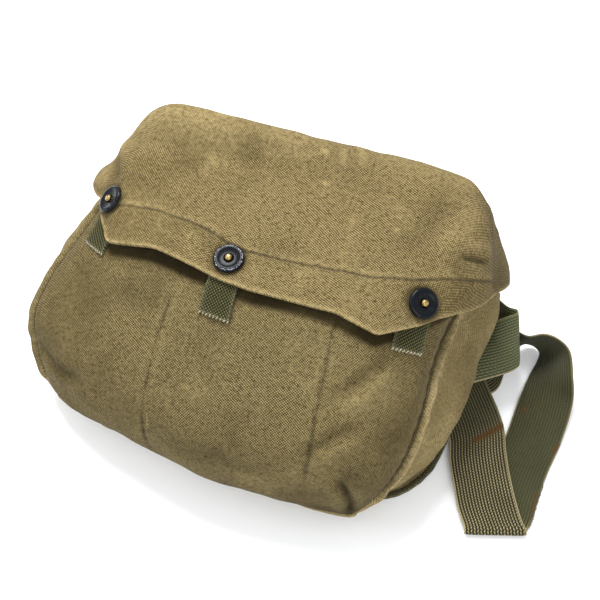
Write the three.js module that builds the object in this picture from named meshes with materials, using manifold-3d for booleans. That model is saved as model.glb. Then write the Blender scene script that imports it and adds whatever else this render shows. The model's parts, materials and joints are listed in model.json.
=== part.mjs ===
// Stuffed canvas gas mask bag lying on its back, flap fastened, with its webbing shoulder strap beside it.
// X runs across the bag, Y from its bottom to its top, Z up from the floor.
import * as THREE from 'three';
import { mergeVertices } from 'three/addons/utils/BufferGeometryUtils.js';
import Module from 'manifold-3d';

const wasm = await Module();
wasm.setup();

// Cloth and seams
const CANVAS = 1.6;
const FLAP_CANVAS = 2.0;
const WEBBING = 1.6;
const GAP = 0.35;
const FOOT_GAP = 0.7;
const FLAP_STANDOFF = 3.8;
const SEAM_SETBACK = 2.1;
const WELT_WIDTH = 7.0;
const WELT_THICK = 2.6;
const RIM = 8.0;
const BINDING_WIDTH = 3.4;
const BINDING_THICK = 3.2;

// Rows that share a number with the table below
const MOUTH_ROW = 8;
const BACK_TOP_ROW = 9;
const FLAP_END_ROW = 10.95;

// One row per section from the bottom seam, up the front, over the top and down to the back's top edge
const COLUMNS = ['seamY', 'seamZ', 'right', 'left', 'skew', 'crownX', 'crownY', 'crownZ',
  'shoulderRight', 'shoulderLeft', 'baseY', 'baseRight', 'baseLeft', 'bulge', 'squareRight', 'squareLeft'];
const SECTIONS = [
  [-77, 22, 106, 106, 5, 0, -83, 14, 0, 0, -49, 98, 98, 0, 0.90, 0.90],
  [-69.3, 24, 110.6, 116, 4.5, 0, -96, 30, 0, 0, -47, 107, 107, 1, 0.90, 1.05],
  [-60, 28, 117, 125, 2.4, -3, -99, 52, 0, 0, -43, 115, 115, 3, 0.90, 1.25],
  [-53.1, 43, 123.3, 130.5, 2.8, -5, -91, 74, 0, 0, -35, 122, 122, 6, 0.88, 1.28],
  [-42.8, 59, 127.2, 133, 0.8, -7, -71, 92, 0, 0, -20, 129, 129, 11, 0.84, 1.26],
  [-19, 69, 127, 132, 0.5, -8, -44, 104, 0, 0, 2, 131, 131, 15, 0.80, 1.24],
  [9, 71, 123, 129, 0, -9, -12, 116, 0, 0, 34, 132, 132, 21, 0.72, 1.18],
  [34, 80, 124, 123, 0, -9, 28, 122, 2, 1, 68, 131, 131, 20, 0.62, 1.00],
  [66, 88, 131, 119, -2, -6, 70, 127, 5, 4, 98, 126, 124, 17, 0.55, 0.70],
  [90, 90, 130, 108, -13, -10, 100, 134, 1, 8, 110, 120, 112, 12, 0.50, 0.50],
  [112, 46, 124, 106, -5, 0, 114, 78, 4, 3, 113, 118, 108, 4, 0.50, 0.50],
  [112, 3, 121, 110, 0, 0, 114, 3, 0, 0, 113, 118, 108, 0, 0.50, 0.50],
].map((row) => Object.fromEntries(row.map((value, k) => [COLUMNS[k], value])));
const SKEW_WIDTH = 130;

// Smooth value of one column between the rows
function section(column, row) {
  const last = SECTIONS.length - 1;
  const i = Math.min(Math.max(Math.floor(row), 0), last - 1);
  const f = row - i;
  const at = (k) => SECTIONS[Math.min(Math.max(k, 0), last)][column];
  const slopeIn = (at(i + 1) - at(i - 1)) / 2;
  const slopeOut = (at(i + 2) - at(i)) / 2;
  const f2 = f * f;
  const f3 = f2 * f;
  return (2 * f3 - 3 * f2 + 1) * at(i) + (f3 - 2 * f2 + f) * slopeIn
    + (3 * f2 - 2 * f3) * at(i + 1) + (f3 - f2) * slopeOut;
}

const smooth = (value) => {
  const s = Math.min(Math.max(value, 0), 1);
  return s * s * (3 - 2 * s);
};

// The back is lifted along its right edge by the strap, and slightly along the strap's way beneath it
const EDGE_LIFT = { height: 9, fromX: 40, toX: 134, fromY: -40, toY: 15, topFromY: 72, topToY: 112 };
const CHANNEL = { height: 2.3, y: 48, halfWidth: 27, ramp: 12, fromX: -132, endRamp: 20 };
function lift(x, y) {
  const edge = EDGE_LIFT.height * smooth((x - EDGE_LIFT.fromX) / (EDGE_LIFT.toX - EDGE_LIFT.fromX))
    * smooth((y - EDGE_LIFT.fromY) / (EDGE_LIFT.toY - EDGE_LIFT.fromY))
    * (1 - smooth((y - EDGE_LIFT.topFromY) / (EDGE_LIFT.topToY - EDGE_LIFT.topFromY)));
  const off = Math.abs(y - CHANNEL.y) - CHANNEL.halfWidth;
  const channel = CHANNEL.height * (1 - smooth(off / CHANNEL.ramp))
    * smooth((x - CHANNEL.fromX) / CHANNEL.endRamp);
  return Math.max(edge, channel);
}

// Outer face of the stuffed bag: across from -1 to 1 is the front, beyond it each side down to the back
function bagFace(across, row) {
  const side = across < 0 ? -1 : 1;
  const down = Math.min(Math.max(Math.abs(across) - 1, 0), 1);
  const seamX = side < 0 ? -section('left', row) : section('right', row);
  const baseX = side < 0 ? -section('baseLeft', row) : section('baseRight', row);
  const shoulder = section(side < 0 ? 'shoulderLeft' : 'shoulderRight', row);
  const square = section(side < 0 ? 'squareLeft' : 'squareRight', row);
  const turn = Math.min(Math.abs(across), 1) ** (1 / square) * Math.PI / 2;
  const fall = 1 - Math.max(Math.cos(turn), 0) ** square;
  const crownX = section('crownX', row);
  const bow = Math.sin(Math.PI * down) ** 2;
  const x = crownX + (seamX - crownX) * Math.sin(turn) ** square;
  const y = section('crownY', row) * (1 - fall) + section('seamY', row) * fall
    - section('skew', row) * x / SKEW_WIDTH;
  const z = section('crownZ', row) * (1 - fall) + section('seamZ', row) * fall
    + shoulder * Math.sin(2 * turn) ** 2;
  const baseY = section('baseY', row);
  const baseZ = lift(baseX, baseY) + CANVAS + FOOT_GAP;
  return new THREE.Vector3(
    x + (baseX - seamX) * down + side * section('bulge', row) * bow,
    y + (baseY - section('seamY', row)) * down,
    z * (1 - down) + baseZ * down,
  );
}

// The flap's cloth lies over the bag's face with its corners eased
const EASE = [[-0.12, 1], [-0.06, 2], [0, 3], [0.06, 2], [0.12, 1]];
const EASE_TOTAL = EASE.reduce((sum, [, weight]) => sum + weight, 0);
function easedFace(across, row) {
  const point = new THREE.Vector3();
  EASE.forEach(([step, weight]) => {
    point.addScaledVector(bagFace(across + step, row), weight / EASE_TOTAL);
  });
  return point;
}

const STEP = 0.02;
function outward(face, across, row) {
  const alongX = face(across + STEP, row).sub(face(across - STEP, row));
  const alongRow = face(across, row + STEP).sub(face(across, row - STEP));
  return alongX.cross(alongRow).normalize();
}

const raised = (face, across, row, height) => {
  const normal = outward(face, across, row);
  return face(across, row).addScaledVector(normal, height);
};
const steps = (count, from, to) => {
  const stepSize = (to - from) / count;
  return Array.from({ length: count + 1 }, (_, k) => from + stepSize * k);
};

// Closed thin solid between two matching grids of points
function sheet(outer, inner) {
  const rows = outer.length;
  const cols = outer[0].length;
  const points = [...outer.flat(), ...inner.flat()];
  const faces = [];
  const top = (i, j) => i * cols + j;
  const under = (i, j) => rows * cols + i * cols + j;
  const quad = (a, b, c, d) => faces.push(a, b, c, a, c, d);
  for (let i = 0; i < rows - 1; i += 1) {
    for (let j = 0; j < cols - 1; j += 1) {
      quad(top(i, j), top(i + 1, j), top(i + 1, j + 1), top(i, j + 1));
      quad(under(i, j), under(i, j + 1), under(i + 1, j + 1), under(i + 1, j));
    }
  }
  for (let i = 0; i < rows - 1; i += 1) {
    quad(top(i, 0), under(i, 0), under(i + 1, 0), top(i + 1, 0));
    quad(top(i, cols - 1), top(i + 1, cols - 1), under(i + 1, cols - 1), under(i, cols - 1));
  }
  for (let j = 0; j < cols - 1; j += 1) {
    quad(top(0, j), top(0, j + 1), under(0, j + 1), under(0, j));
    quad(top(rows - 1, j), under(rows - 1, j), under(rows - 1, j + 1), top(rows - 1, j + 1));
  }
  return solid(points, faces);
}

// Closed solid from a row of matching rings, capped at both ends
function sweep(rings) {
  const size = rings[0].length;
  const faces = [];
  for (let i = 0; i < rings.length - 1; i += 1) {
    for (let k = 0; k < size; k += 1) {
      const next = (k + 1) % size;
      const [a, b, c, d] = [i * size + k, i * size + next, (i + 1) * size + next, (i + 1) * size + k];
      faces.push(a, b, c, a, c, d);
    }
  }
  const end = (rings.length - 1) * size;
  for (let k = 1; k < size - 1; k += 1) {
    faces.push(0, k + 1, k, end, end + k, end + k + 1);
  }
  return solid(rings.flat(), faces);
}

function solid(points, faces) {
  const geometry = new THREE.BufferGeometry();
  const numbers = points.flatMap((p) => p.toArray());
  geometry.setAttribute('position', new THREE.Float32BufferAttribute(numbers, 3));
  geometry.setIndex(faces);
  return geometry;
}

const bag = new THREE.Group();
bag.name = 'gas_mask_bag';
function add(name, geometry, finish) {
  const mesh = new THREE.Mesh(geometry, new THREE.MeshStandardMaterial(finish));
  mesh.name = name;
  bag.add(mesh);
  return mesh;
}

const CANVAS_FINISH = { color: 0x6f6445, roughness: 0.95, metalness: 0 };
const TAPE_FINISH = { color: 0x4b4f36, roughness: 0.95, metalness: 0 };
const STRAP_FINISH = { color: 0x5c5a40, roughness: 0.95, metalness: 0 };
const BLACK_FINISH = { color: 0x17181a, roughness: 0.35, metalness: 0.6 };
const BRASS_FINISH = { color: 0x8f7440, roughness: 0.35, metalness: 1 };

// Front panel: from just above its bottom seam to the mouth, held back a little from the seam all round
const FRONT_START = { middle: 0.16, side: 0.72 };
const frontLimit = (side, row) => {
  const riseY = section('crownY', row) - section('seamY', row);
  const riseZ = section('crownZ', row) - section('seamZ', row);
  const rise = Math.max(Math.hypot(riseY, riseZ), SEAM_SETBACK * 2);
  const square = section(side < 0 ? 'squareLeft' : 'squareRight', row);
  const share = (SEAM_SETBACK / rise) ** (1 / square);
  return (Math.acos(share) / (Math.PI / 2)) ** square;
};
const frontGrid = (height) => steps(26, -1, 1).map((share) => {
  const start = FRONT_START.middle + FRONT_START.side * share * share;
  return steps(18, start, MOUTH_ROW)
    .map((row) => raised(bagFace, share * frontLimit(share, row), row, height));
});
add('front_panel', sheet(frontGrid(0), frontGrid(-CANVAS)), CANVAS_FINISH);

// Seam line round the front: down the right side, along the bottom and up the left side
const BOTTOM_STEPS = 12;
function seamWalk(fromRow, sideSteps) {
  const right = steps(sideSteps, fromRow, 0).map((row) => ({ across: 1, row }));
  const bottom = steps(BOTTOM_STEPS, 1, -1).slice(1, -1).map((across) => ({ across, row: 0 }));
  const left = steps(sideSteps, 0, fromRow).map((row) => ({ across: -1, row }));
  return [...right, ...bottom, ...left];
}

// Gusset: one strip from the seam to the back, following the same walk, its top ends leaning to the back
const MOUTH_LEAN = 0.7;
const MOUTH_LEAN_FROM = 5;
function gussetPoint({ across, row }, down, height) {
  if (row > 0 || Math.abs(across) === 1) {
    return raised(bagFace, across * (1 + down), row, height);
  }
  const seam = bagFace(across, 0);
  const baseX = seam.x * section('baseRight', 0) / section('right', 0);
  const base = new THREE.Vector3(baseX, section('baseY', 0), CANVAS + FOOT_GAP);
  const fall = base.clone().sub(seam);
  const out = fall.clone().cross(new THREE.Vector3(1, 0, 0)).normalize();
  return seam.addScaledVector(fall, down).addScaledVector(out, height);
}
const seamLength = (stop) => gussetPoint(stop, 0, 0).distanceTo(gussetPoint(stop, 1, 0));
const gussetRow = (row, down) => {
  const share = smooth((row - MOUTH_LEAN_FROM) / (MOUTH_ROW - MOUTH_LEAN_FROM));
  return row + MOUTH_LEAN * down * share;
};
const gussetGrid = (height) => seamWalk(MOUTH_ROW, 15).map(({ across, row }) => {
  const start = SEAM_SETBACK / seamLength({ across, row });
  return steps(6, start, 1).map((down) => gussetPoint({ across, row: gussetRow(row, down) }, down, height));
});
add('gusset', sheet(gussetGrid(0), gussetGrid(-CANVAS)), CANVAS_FINISH);

// Outline of the back: the gusset's foot moved out by the rim
function backOutline(side, row, out) {
  const column = side < 0 ? 'baseLeft' : 'baseRight';
  const foot = (r) => new THREE.Vector3(side * section(column, r), section('baseY', r), 0);
  const way = foot(row + STEP).sub(foot(row - STEP)).normalize();
  return foot(row).addScaledVector(new THREE.Vector3(side * way.y, -side * way.x, 0), out);
}

// Back panel: flat on the floor but for its lift over the strap, reaching a little past the flap's sewn edge
const BACK_TOP_Y = 121;
const BACK_STEPS = 22;
const BACK_ROWS = 16;
function backRow(row) {
  const [left, right] = [backOutline(-1, row, RIM), backOutline(1, row, RIM)];
  return steps(BACK_STEPS, 0, 1).map((share) => left.clone().lerp(right, share));
}
const backRows = steps(BACK_ROWS, 0, BACK_TOP_ROW).map(backRow);
backRows.push(backRow(BACK_TOP_ROW).map((p) => new THREE.Vector3(p.x, BACK_TOP_Y, 0)));
const backGrid = (height) => steps(BACK_STEPS, 0, BACK_STEPS).map((k) => backRows
  .map((line) => new THREE.Vector3(line[k].x, line[k].y, lift(line[k].x, line[k].y) + height)));
add('back_panel', sheet(backGrid(CANVAS), backGrid(0)), CANVAS_FINISH);

// Flat strip with rounded corners, carried along stops that each give a centre and an outward direction
const STRIP = [[-0.5, 0], [-0.4, -0.5], [0.35, -0.5], [0.5, 0], [0.35, 0.5], [-0.4, 0.5]];
function strip(stops, thick) {
  return sweep(stops.map(({ centre, out, up, width }) => STRIP
    .map(([a, b]) => centre.clone().addScaledVector(out, a * width).addScaledVector(up, b * thick))));
}

// Front welt: the seam's folded edges stand out at the sides, and lie close at the bottom and under the flap
const WELT_INSET = 0.85;
const WELT_CLOSE = { fromRow: 7.0, toRow: 7.4, width: 2.6, endRow: 7.9 };
const UP = new THREE.Vector3(0, 0, 1);
const WELT_DROOP = { angle: 1.2, fromRow: 0.9, toRow: 2.3 };
const WELT_TUCK = { width: 3.2, toRow: 1.5 };
const weltWalk = seamWalk(WELT_CLOSE.endRow, 22);
const weltLine = weltWalk.map(({ across, row }) => bagFace(across, row));
const weltStops = weltWalk.map(({ row }, k) => {
  const before = weltLine[Math.max(k - 1, 0)];
  const after = weltLine[Math.min(k + 1, weltLine.length - 1)];
  const way = after.clone().sub(before).normalize();
  const level = smooth((row - WELT_DROOP.fromRow) / (WELT_DROOP.toRow - WELT_DROOP.fromRow));
  const droop = WELT_DROOP.angle * (1 - level);
  const out = UP.clone().cross(way).normalize().applyAxisAngle(way, -droop);
  const close = smooth((row - WELT_CLOSE.fromRow) / (WELT_CLOSE.toRow - WELT_CLOSE.fromRow));
  const open = WELT_TUCK.width + (WELT_WIDTH - WELT_TUCK.width) * smooth(row / WELT_TUCK.toRow);
  const width = open + (WELT_CLOSE.width - open) * close;
  const centre = weltLine[k].clone().addScaledVector(out, width / 2 - WELT_INSET);
  return { centre, out, up: way.cross(out), width };
});
add('front_welt', strip(weltStops, WELT_THICK), CANVAS_FINISH);

// Back binding: green tape round the rim of the back, from one top corner round the bottom to the other
const bindingRight = steps(BACK_ROWS, BACK_TOP_ROW, 0).map((row) => [1, row]);
const bindingLeft = bindingRight.map(([, row]) => [-1, row]).reverse();
const bindingStops = [...bindingRight, ...bindingLeft].map(([side, row]) => {
  const edge = backOutline(side, row, RIM);
  const out = backOutline(side, row, RIM + 1).sub(edge).normalize();
  const height = lift(edge.x, edge.y) + BINDING_THICK / 2;
  const centre = edge.addScaledVector(out, GAP + BINDING_WIDTH / 2).setZ(height);
  return { centre, out, up: UP, width: BINDING_WIDTH };
});
add('back_binding', strip(bindingStops, BINDING_THICK), TAPE_FINISH);

// Lower edge of the flap, from wing tip to wing tip: [across, row]
const FLAP_EDGE = [
  [-1.40, 8.45], [-0.87, 7.10], [-0.64, 6.64], [-0.50, 6.10], [-0.26, 6.18], [-0.01, 6.02],
  [0.10, 5.99], [0.40, 6.11], [0.57, 6.00], [0.76, 6.52], [1.03, 7.53], [1.40, 8.45],
];
const FLAP_SPACING = 0.11;
const flapAcross = FLAP_EDGE.slice(1).flatMap(([end], k) => {
  const from = FLAP_EDGE[k][0];
  return steps(Math.ceil((end - from) / FLAP_SPACING), from, end).slice(1);
});
flapAcross.unshift(FLAP_EDGE[0][0]);
function flapEdgeRow(across) {
  const k = FLAP_EDGE.findIndex(([end]) => across <= end + 1e-9);
  const [a0, r0] = FLAP_EDGE[Math.max(k - 1, 0)];
  const [a1, r1] = FLAP_EDGE[Math.max(k, 1)];
  return r0 + (r1 - r0) * (across - a0) / (a1 - a0);
}

// The wings tuck in behind the top
const TUCK = { fromRow: 8.6, toRow: 10.6, share: 0.34 };
const tucked = (across, row) => {
  const share = smooth((row - TUCK.fromRow) / (TUCK.toRow - TUCK.fromRow));
  return across * (1 - TUCK.share * share);
};
const flapGrid = (height) => flapAcross.map((across) => steps(16, flapEdgeRow(across), FLAP_END_ROW)
  .map((row) => raised(easedFace, tucked(across, row), row, height)));

// Fasteners: where each stud stands on the flap, and the place and slant of the lower end of its tab
const FASTENERS = [
  { name: 'left', across: -0.63, row: 6.96, tabAcross: -0.575, tabRow: 5.96, slant: -0.10 },
  { name: 'center', across: -0.01, row: 6.38, tabAcross: 0.008, tabRow: 5.39, slant: -0.01 },
  { name: 'right', across: 0.72, row: 6.83, tabAcross: 0.725, tabRow: 5.96, slant: 0.05 },
];
const TAB_WIDTH = 20;
const TAB_ABOVE = 0.35;
const HOLE_RADIUS = 3.0;
const HOLE_LENGTH = 30;
const SOCKET_LIFT = FLAP_STANDOFF + FLAP_CANVAS + GAP;
const SOCKET_PROFILE = [
  [3.0, 0], [9.6, 0], [9.8, 0.9], [9.0, 2.1], [7.8, 2.6], [6.4, 2.3], [4.6, 1.8], [3.0, 1.7], [3.0, 0],
];
const STUD_FOOT = GAP + WEBBING + GAP;
const STUD_PROFILE = [
  [0, 0], [2.5, 0], [2.5, 4.6], [1.6, 5.3], [2.1, 6.1], [2.3, 6.9], [2.1, 7.7], [1.4, 8.3], [0, 8.5],
];
const lathe = (profile, segments) => {
  const geometry = new THREE.LatheGeometry(profile.map(([r, z]) => new THREE.Vector2(r, z)), segments);
  geometry.deleteAttribute('normal');
  geometry.deleteAttribute('uv');
  return mergeVertices(geometry, 1e-4).rotateX(Math.PI / 2);
};

const manifold = (geometry) => new wasm.Manifold(new wasm.Mesh({
  numProp: 3,
  vertProperties: new Float32Array(geometry.attributes.position.array),
  triVerts: new Uint32Array(geometry.index.array),
}));
let flapBody = manifold(sheet(flapGrid(FLAP_STANDOFF + FLAP_CANVAS), flapGrid(FLAP_STANDOFF)));
FASTENERS.forEach(({ name, across, row, tabAcross, tabRow, slant }) => {
  const axis = outward(easedFace, across, row);
  const foot = easedFace(across, row);
  const turn = new THREE.Quaternion().setFromUnitVectors(UP, axis);
  const hole = new THREE.CylinderGeometry(HOLE_RADIUS, HOLE_RADIUS, HOLE_LENGTH, 20).rotateX(Math.PI / 2);
  hole.deleteAttribute('normal');
  hole.deleteAttribute('uv');
  hole.applyQuaternion(turn).translate(foot.x, foot.y, foot.z);
  flapBody = flapBody.subtract(manifold(mergeVertices(hole, 1e-4)));

  const span = bagFace(tabAcross + STEP, tabRow).distanceTo(bagFace(tabAcross - STEP, tabRow));
  const halfAcross = TAB_WIDTH / 2 / (span / (2 * STEP));
  const tabPoint = (share, r, height) => {
    const middle = tabAcross + (across - tabAcross) * (r - tabRow) / (row - tabRow);
    return raised(bagFace, middle + share * halfAcross, r, height);
  };
  const tabGrid = (height) => steps(4, -1, 1).map((share) => steps(6, tabRow + slant * share, row + TAB_ABOVE)
    .map((r) => tabPoint(share, r, height)));
  add(`tab_${name}`, sheet(tabGrid(GAP + WEBBING), tabGrid(GAP)), TAPE_FINISH);

  const socket = add(`socket_${name}`, lathe(SOCKET_PROFILE, 22), BLACK_FINISH);
  socket.position.copy(foot).addScaledVector(axis, SOCKET_LIFT);
  socket.quaternion.copy(turn);
  const stud = add(`stud_${name}`, lathe(STUD_PROFILE, 12), BRASS_FINISH);
  const onTab = bagFace(across, row).sub(foot).dot(axis) + STUD_FOOT;
  stud.position.copy(foot).addScaledVector(axis, onTab);
  stud.quaternion.copy(turn);
});
const flapMesh = flapBody.getMesh();
const flapGeometry = new THREE.BufferGeometry();
flapGeometry.setAttribute('position', new THREE.BufferAttribute(flapMesh.vertProperties, 3));
flapGeometry.setIndex(new THREE.BufferAttribute(flapMesh.triVerts, 1));
add('flap', flapGeometry, CANVAS_FINISH);

// Webbing: a flat ribbon through rows that each give the ends of one line across it
const RIBBON_COLUMNS = ['rightX', 'rightY', 'rightZ', 'leftX', 'leftY', 'leftZ'];
const RIBBON_STEPS = 4;
const ribbonRow = (row) => Object.fromEntries(row.map((value, k) => [RIBBON_COLUMNS[k], value]));
const rightEdge = (row) => new THREE.Vector3(row.rightX, row.rightY, row.rightZ);
const leftEdge = (row) => new THREE.Vector3(row.leftX, row.leftY, row.leftZ);
function ribbon(right, left, thick) {
  const rightCurve = new THREE.CatmullRomCurve3(right, false, 'centripetal');
  const leftCurve = new THREE.CatmullRomCurve3(left, false, 'centripetal');
  const count = (right.length - 1) * RIBBON_STEPS;
  const middle = (k) => {
    const t = Math.min(Math.max(k / count, 0), 1);
    return rightCurve.getPoint(t).lerp(leftCurve.getPoint(t), 0.5);
  };
  return sweep(steps(count, 0, 1).map((t, k) => {
    const [a, b] = [rightCurve.getPoint(t), leftCurve.getPoint(t)];
    const way = middle(k + 0.5).sub(middle(k - 0.5));
    const up = way.cross(a.clone().sub(b)).normalize().multiplyScalar(thick / 2);
    return [a.clone().add(up), b.clone().add(up), b.clone().sub(up), a.clone().sub(up)];
  }));
}

// Shoulder strap: sewn end under the lifted edge, out over the floor, folded back under itself, up on edge
// round the far turn, flat again under the bag and across to the end sewn at the other side
const STRAP = [
  [131, 76, 5.6, 104, 49, 4.6],
  [152, 51, 5.6, 122, 28, 5.6],
  [173, 23, 5.4, 142, 1, 5.4],
  [180, 6, 5.4, 148, -15, 5.2],
  [188, -11, 5.4, 156, -31, 5.2],
  [198, -29, 5.4, 164, -46, 5.2],
  [206, -41, 5.4, 171, -56, 5.4],
  [209, -44, 5.3, 172, -58, 5.3],
  [210, -46, 3.3, 173, -60, 3.3],
  [209.5, -44, 1.3, 173, -58, 1.3],
  [210.5, -36, 1.1, 173, -42, 1.1],
  [210, -23, 1, 172, -28, 1],
  [210, 1, 1, 173, -6, 1],
  [212, 28, 2, 176, 16, 1.1],
  [211, 56, 8, 176, 45, 1.5],
  [206, 64, 25, 177, 67, 1.7],
  [198, 78, 34, 179, 83, 1.7],
  [188, 82, 37, 178, 91, 1.8],
  [179, 82, 37, 172, 94, 2.2],
  [170, 80, 32, 165.5, 91, 4],
  [153, 94, 11, 161, 72, 3],
  [132, 76, 2.2, 158.5, 48, 1.3],
  [110, 70, 1, 122, 34, 1],
  [84, 67.5, 1, 86, 29.5, 1],
  [40, 67, 1, 40, 29, 1],
  [-104, 67, 1, -104, 29, 1],
].map(ribbonRow);
add('shoulder_strap', ribbon(STRAP.map(rightEdge), STRAP.map(leftEdge), WEBBING), STRAP_FINISH);

// Side loop: a short piece of the same webbing bent double, both ends sewn to the right gusset
const LOOP_GAP = 2.6;
const LOOP = [
  [150, 95, 36, 161.5, 66, 20],
  [156.5, 92.5, 39.5, 168.5, 63.5, 23],
  [157.5, 88, 42, 169.5, 58.5, 25],
  [153.5, 84, 42, 166.5, 52.5, 26],
  [146, 79.5, 38, 158.5, 45.5, 25.5],
].map(ribbonRow);
const LOOP_ENDS = {
  back: { rightRow: 8.7, rightDown: 0.76, leftRow: 7.6, leftDown: 0.8 },
  front: { rightRow: 7.8, rightDown: 0.68, leftRow: 6.2, leftDown: 0.70 },
};
const onGusset = (row, down) => gussetPoint({ across: 1, row }, down, LOOP_GAP);
const loopRight = [onGusset(LOOP_ENDS.back.rightRow, LOOP_ENDS.back.rightDown), ...LOOP.map(rightEdge),
  onGusset(LOOP_ENDS.front.rightRow, LOOP_ENDS.front.rightDown)];
const loopLeft = [onGusset(LOOP_ENDS.back.leftRow, LOOP_ENDS.back.leftDown), ...LOOP.map(leftEdge),
  onGusset(LOOP_ENDS.front.leftRow, LOOP_ENDS.front.leftDown)];
add('side_loop', ribbon(loopRight, loopLeft, WEBBING), STRAP_FINISH);

export default bag;
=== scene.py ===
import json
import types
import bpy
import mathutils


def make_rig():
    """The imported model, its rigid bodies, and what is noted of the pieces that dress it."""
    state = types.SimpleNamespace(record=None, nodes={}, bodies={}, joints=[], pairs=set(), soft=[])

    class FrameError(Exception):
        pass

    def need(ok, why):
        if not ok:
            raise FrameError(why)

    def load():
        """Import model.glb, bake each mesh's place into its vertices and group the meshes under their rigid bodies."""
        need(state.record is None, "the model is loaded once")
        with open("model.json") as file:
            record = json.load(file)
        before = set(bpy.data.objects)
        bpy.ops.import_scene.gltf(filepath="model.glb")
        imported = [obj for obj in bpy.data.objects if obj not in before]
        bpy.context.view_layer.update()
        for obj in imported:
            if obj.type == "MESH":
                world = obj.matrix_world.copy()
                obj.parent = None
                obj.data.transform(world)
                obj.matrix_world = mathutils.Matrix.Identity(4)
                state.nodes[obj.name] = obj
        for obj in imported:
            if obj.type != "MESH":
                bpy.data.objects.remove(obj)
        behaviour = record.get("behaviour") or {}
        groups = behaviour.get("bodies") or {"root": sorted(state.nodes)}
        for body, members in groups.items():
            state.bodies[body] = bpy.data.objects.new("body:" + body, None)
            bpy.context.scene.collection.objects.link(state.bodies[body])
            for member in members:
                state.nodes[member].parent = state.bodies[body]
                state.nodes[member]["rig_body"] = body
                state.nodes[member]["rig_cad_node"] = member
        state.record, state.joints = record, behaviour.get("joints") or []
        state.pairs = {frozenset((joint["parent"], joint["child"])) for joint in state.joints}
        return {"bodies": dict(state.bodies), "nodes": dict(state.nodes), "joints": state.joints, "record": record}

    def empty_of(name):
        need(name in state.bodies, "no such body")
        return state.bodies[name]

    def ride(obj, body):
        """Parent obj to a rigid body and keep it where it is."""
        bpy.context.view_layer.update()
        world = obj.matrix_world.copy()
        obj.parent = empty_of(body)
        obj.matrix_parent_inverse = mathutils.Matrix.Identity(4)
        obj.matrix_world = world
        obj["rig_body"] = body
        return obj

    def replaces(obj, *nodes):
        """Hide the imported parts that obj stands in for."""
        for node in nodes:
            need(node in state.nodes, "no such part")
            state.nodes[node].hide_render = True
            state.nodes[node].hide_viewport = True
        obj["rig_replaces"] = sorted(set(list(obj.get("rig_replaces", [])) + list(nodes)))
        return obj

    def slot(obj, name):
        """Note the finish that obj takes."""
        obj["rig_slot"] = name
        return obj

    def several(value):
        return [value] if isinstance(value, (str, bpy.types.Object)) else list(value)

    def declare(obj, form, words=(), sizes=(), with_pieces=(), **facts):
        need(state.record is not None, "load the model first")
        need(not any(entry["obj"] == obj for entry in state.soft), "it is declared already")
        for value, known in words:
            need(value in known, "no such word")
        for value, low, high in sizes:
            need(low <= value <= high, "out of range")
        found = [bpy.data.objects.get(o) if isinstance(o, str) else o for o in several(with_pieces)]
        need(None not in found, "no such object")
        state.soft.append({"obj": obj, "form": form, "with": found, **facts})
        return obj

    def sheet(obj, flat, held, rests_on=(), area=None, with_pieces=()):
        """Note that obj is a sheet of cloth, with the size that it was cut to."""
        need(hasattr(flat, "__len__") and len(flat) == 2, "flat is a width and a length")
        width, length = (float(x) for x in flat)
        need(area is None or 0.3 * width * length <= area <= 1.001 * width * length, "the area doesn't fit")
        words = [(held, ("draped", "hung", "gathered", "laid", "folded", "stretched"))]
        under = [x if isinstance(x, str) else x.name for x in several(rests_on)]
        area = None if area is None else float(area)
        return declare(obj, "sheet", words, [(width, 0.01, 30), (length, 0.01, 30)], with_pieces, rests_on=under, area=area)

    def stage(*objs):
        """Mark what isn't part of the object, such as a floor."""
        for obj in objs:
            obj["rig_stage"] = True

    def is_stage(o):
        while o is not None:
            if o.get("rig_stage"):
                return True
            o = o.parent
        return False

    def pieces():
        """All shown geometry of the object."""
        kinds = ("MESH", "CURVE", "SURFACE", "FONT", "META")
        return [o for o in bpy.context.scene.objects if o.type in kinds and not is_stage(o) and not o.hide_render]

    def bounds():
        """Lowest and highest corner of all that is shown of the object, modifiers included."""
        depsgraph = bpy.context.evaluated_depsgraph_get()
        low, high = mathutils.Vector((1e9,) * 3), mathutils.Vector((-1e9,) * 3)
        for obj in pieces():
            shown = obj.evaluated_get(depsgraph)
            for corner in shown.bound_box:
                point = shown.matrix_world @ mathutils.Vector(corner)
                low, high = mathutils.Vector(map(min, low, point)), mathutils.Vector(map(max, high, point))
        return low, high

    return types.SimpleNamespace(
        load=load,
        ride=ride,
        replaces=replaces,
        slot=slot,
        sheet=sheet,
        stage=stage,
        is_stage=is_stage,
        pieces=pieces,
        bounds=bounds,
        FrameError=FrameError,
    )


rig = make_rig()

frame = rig.load()
cad_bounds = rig.bounds()

import json
import math

import bmesh
import bpy
import numpy as np
from mathutils import Vector

# Camera, floor and light
# The bag lies on a plain white table, seen from above its lower right corner, under wide soft lamps.
CAMERA_PLACE = (0.2225, -0.4592, 0.8163)
CAMERA_AZIMUTH = math.radians(22.085)
CAMERA_ELEVATION = math.radians(55)
CAMERA_LENS, CAMERA_SENSOR, CAMERA_REACH = 84, 36, 20
FLOOR_SIZE = 6.0
FLOOR_WHITE = (0.93, 0.935, 0.94, 1)
FLOOR_ROUGHNESS, FLOOR_GLOW = 0.7, 0.04
SKY_WHITE, SKY_STRENGTH = (0.97, 0.985, 1.0, 1), 0.85

camera_data = bpy.data.cameras.new("camera")
camera_data.lens = CAMERA_LENS
camera_data.sensor_width = CAMERA_SENSOR
camera_data.clip_end = CAMERA_REACH
camera = bpy.data.objects.new("camera", camera_data)
camera.location = CAMERA_PLACE
sight = Vector((-math.sin(CAMERA_AZIMUTH) * math.cos(CAMERA_ELEVATION),
                math.cos(CAMERA_AZIMUTH) * math.cos(CAMERA_ELEVATION),
                -math.sin(CAMERA_ELEVATION)))
camera.rotation_euler = sight.to_track_quat("-Z", "Y").to_euler()
bpy.context.collection.objects.link(camera)
bpy.context.scene.camera = camera

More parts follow.
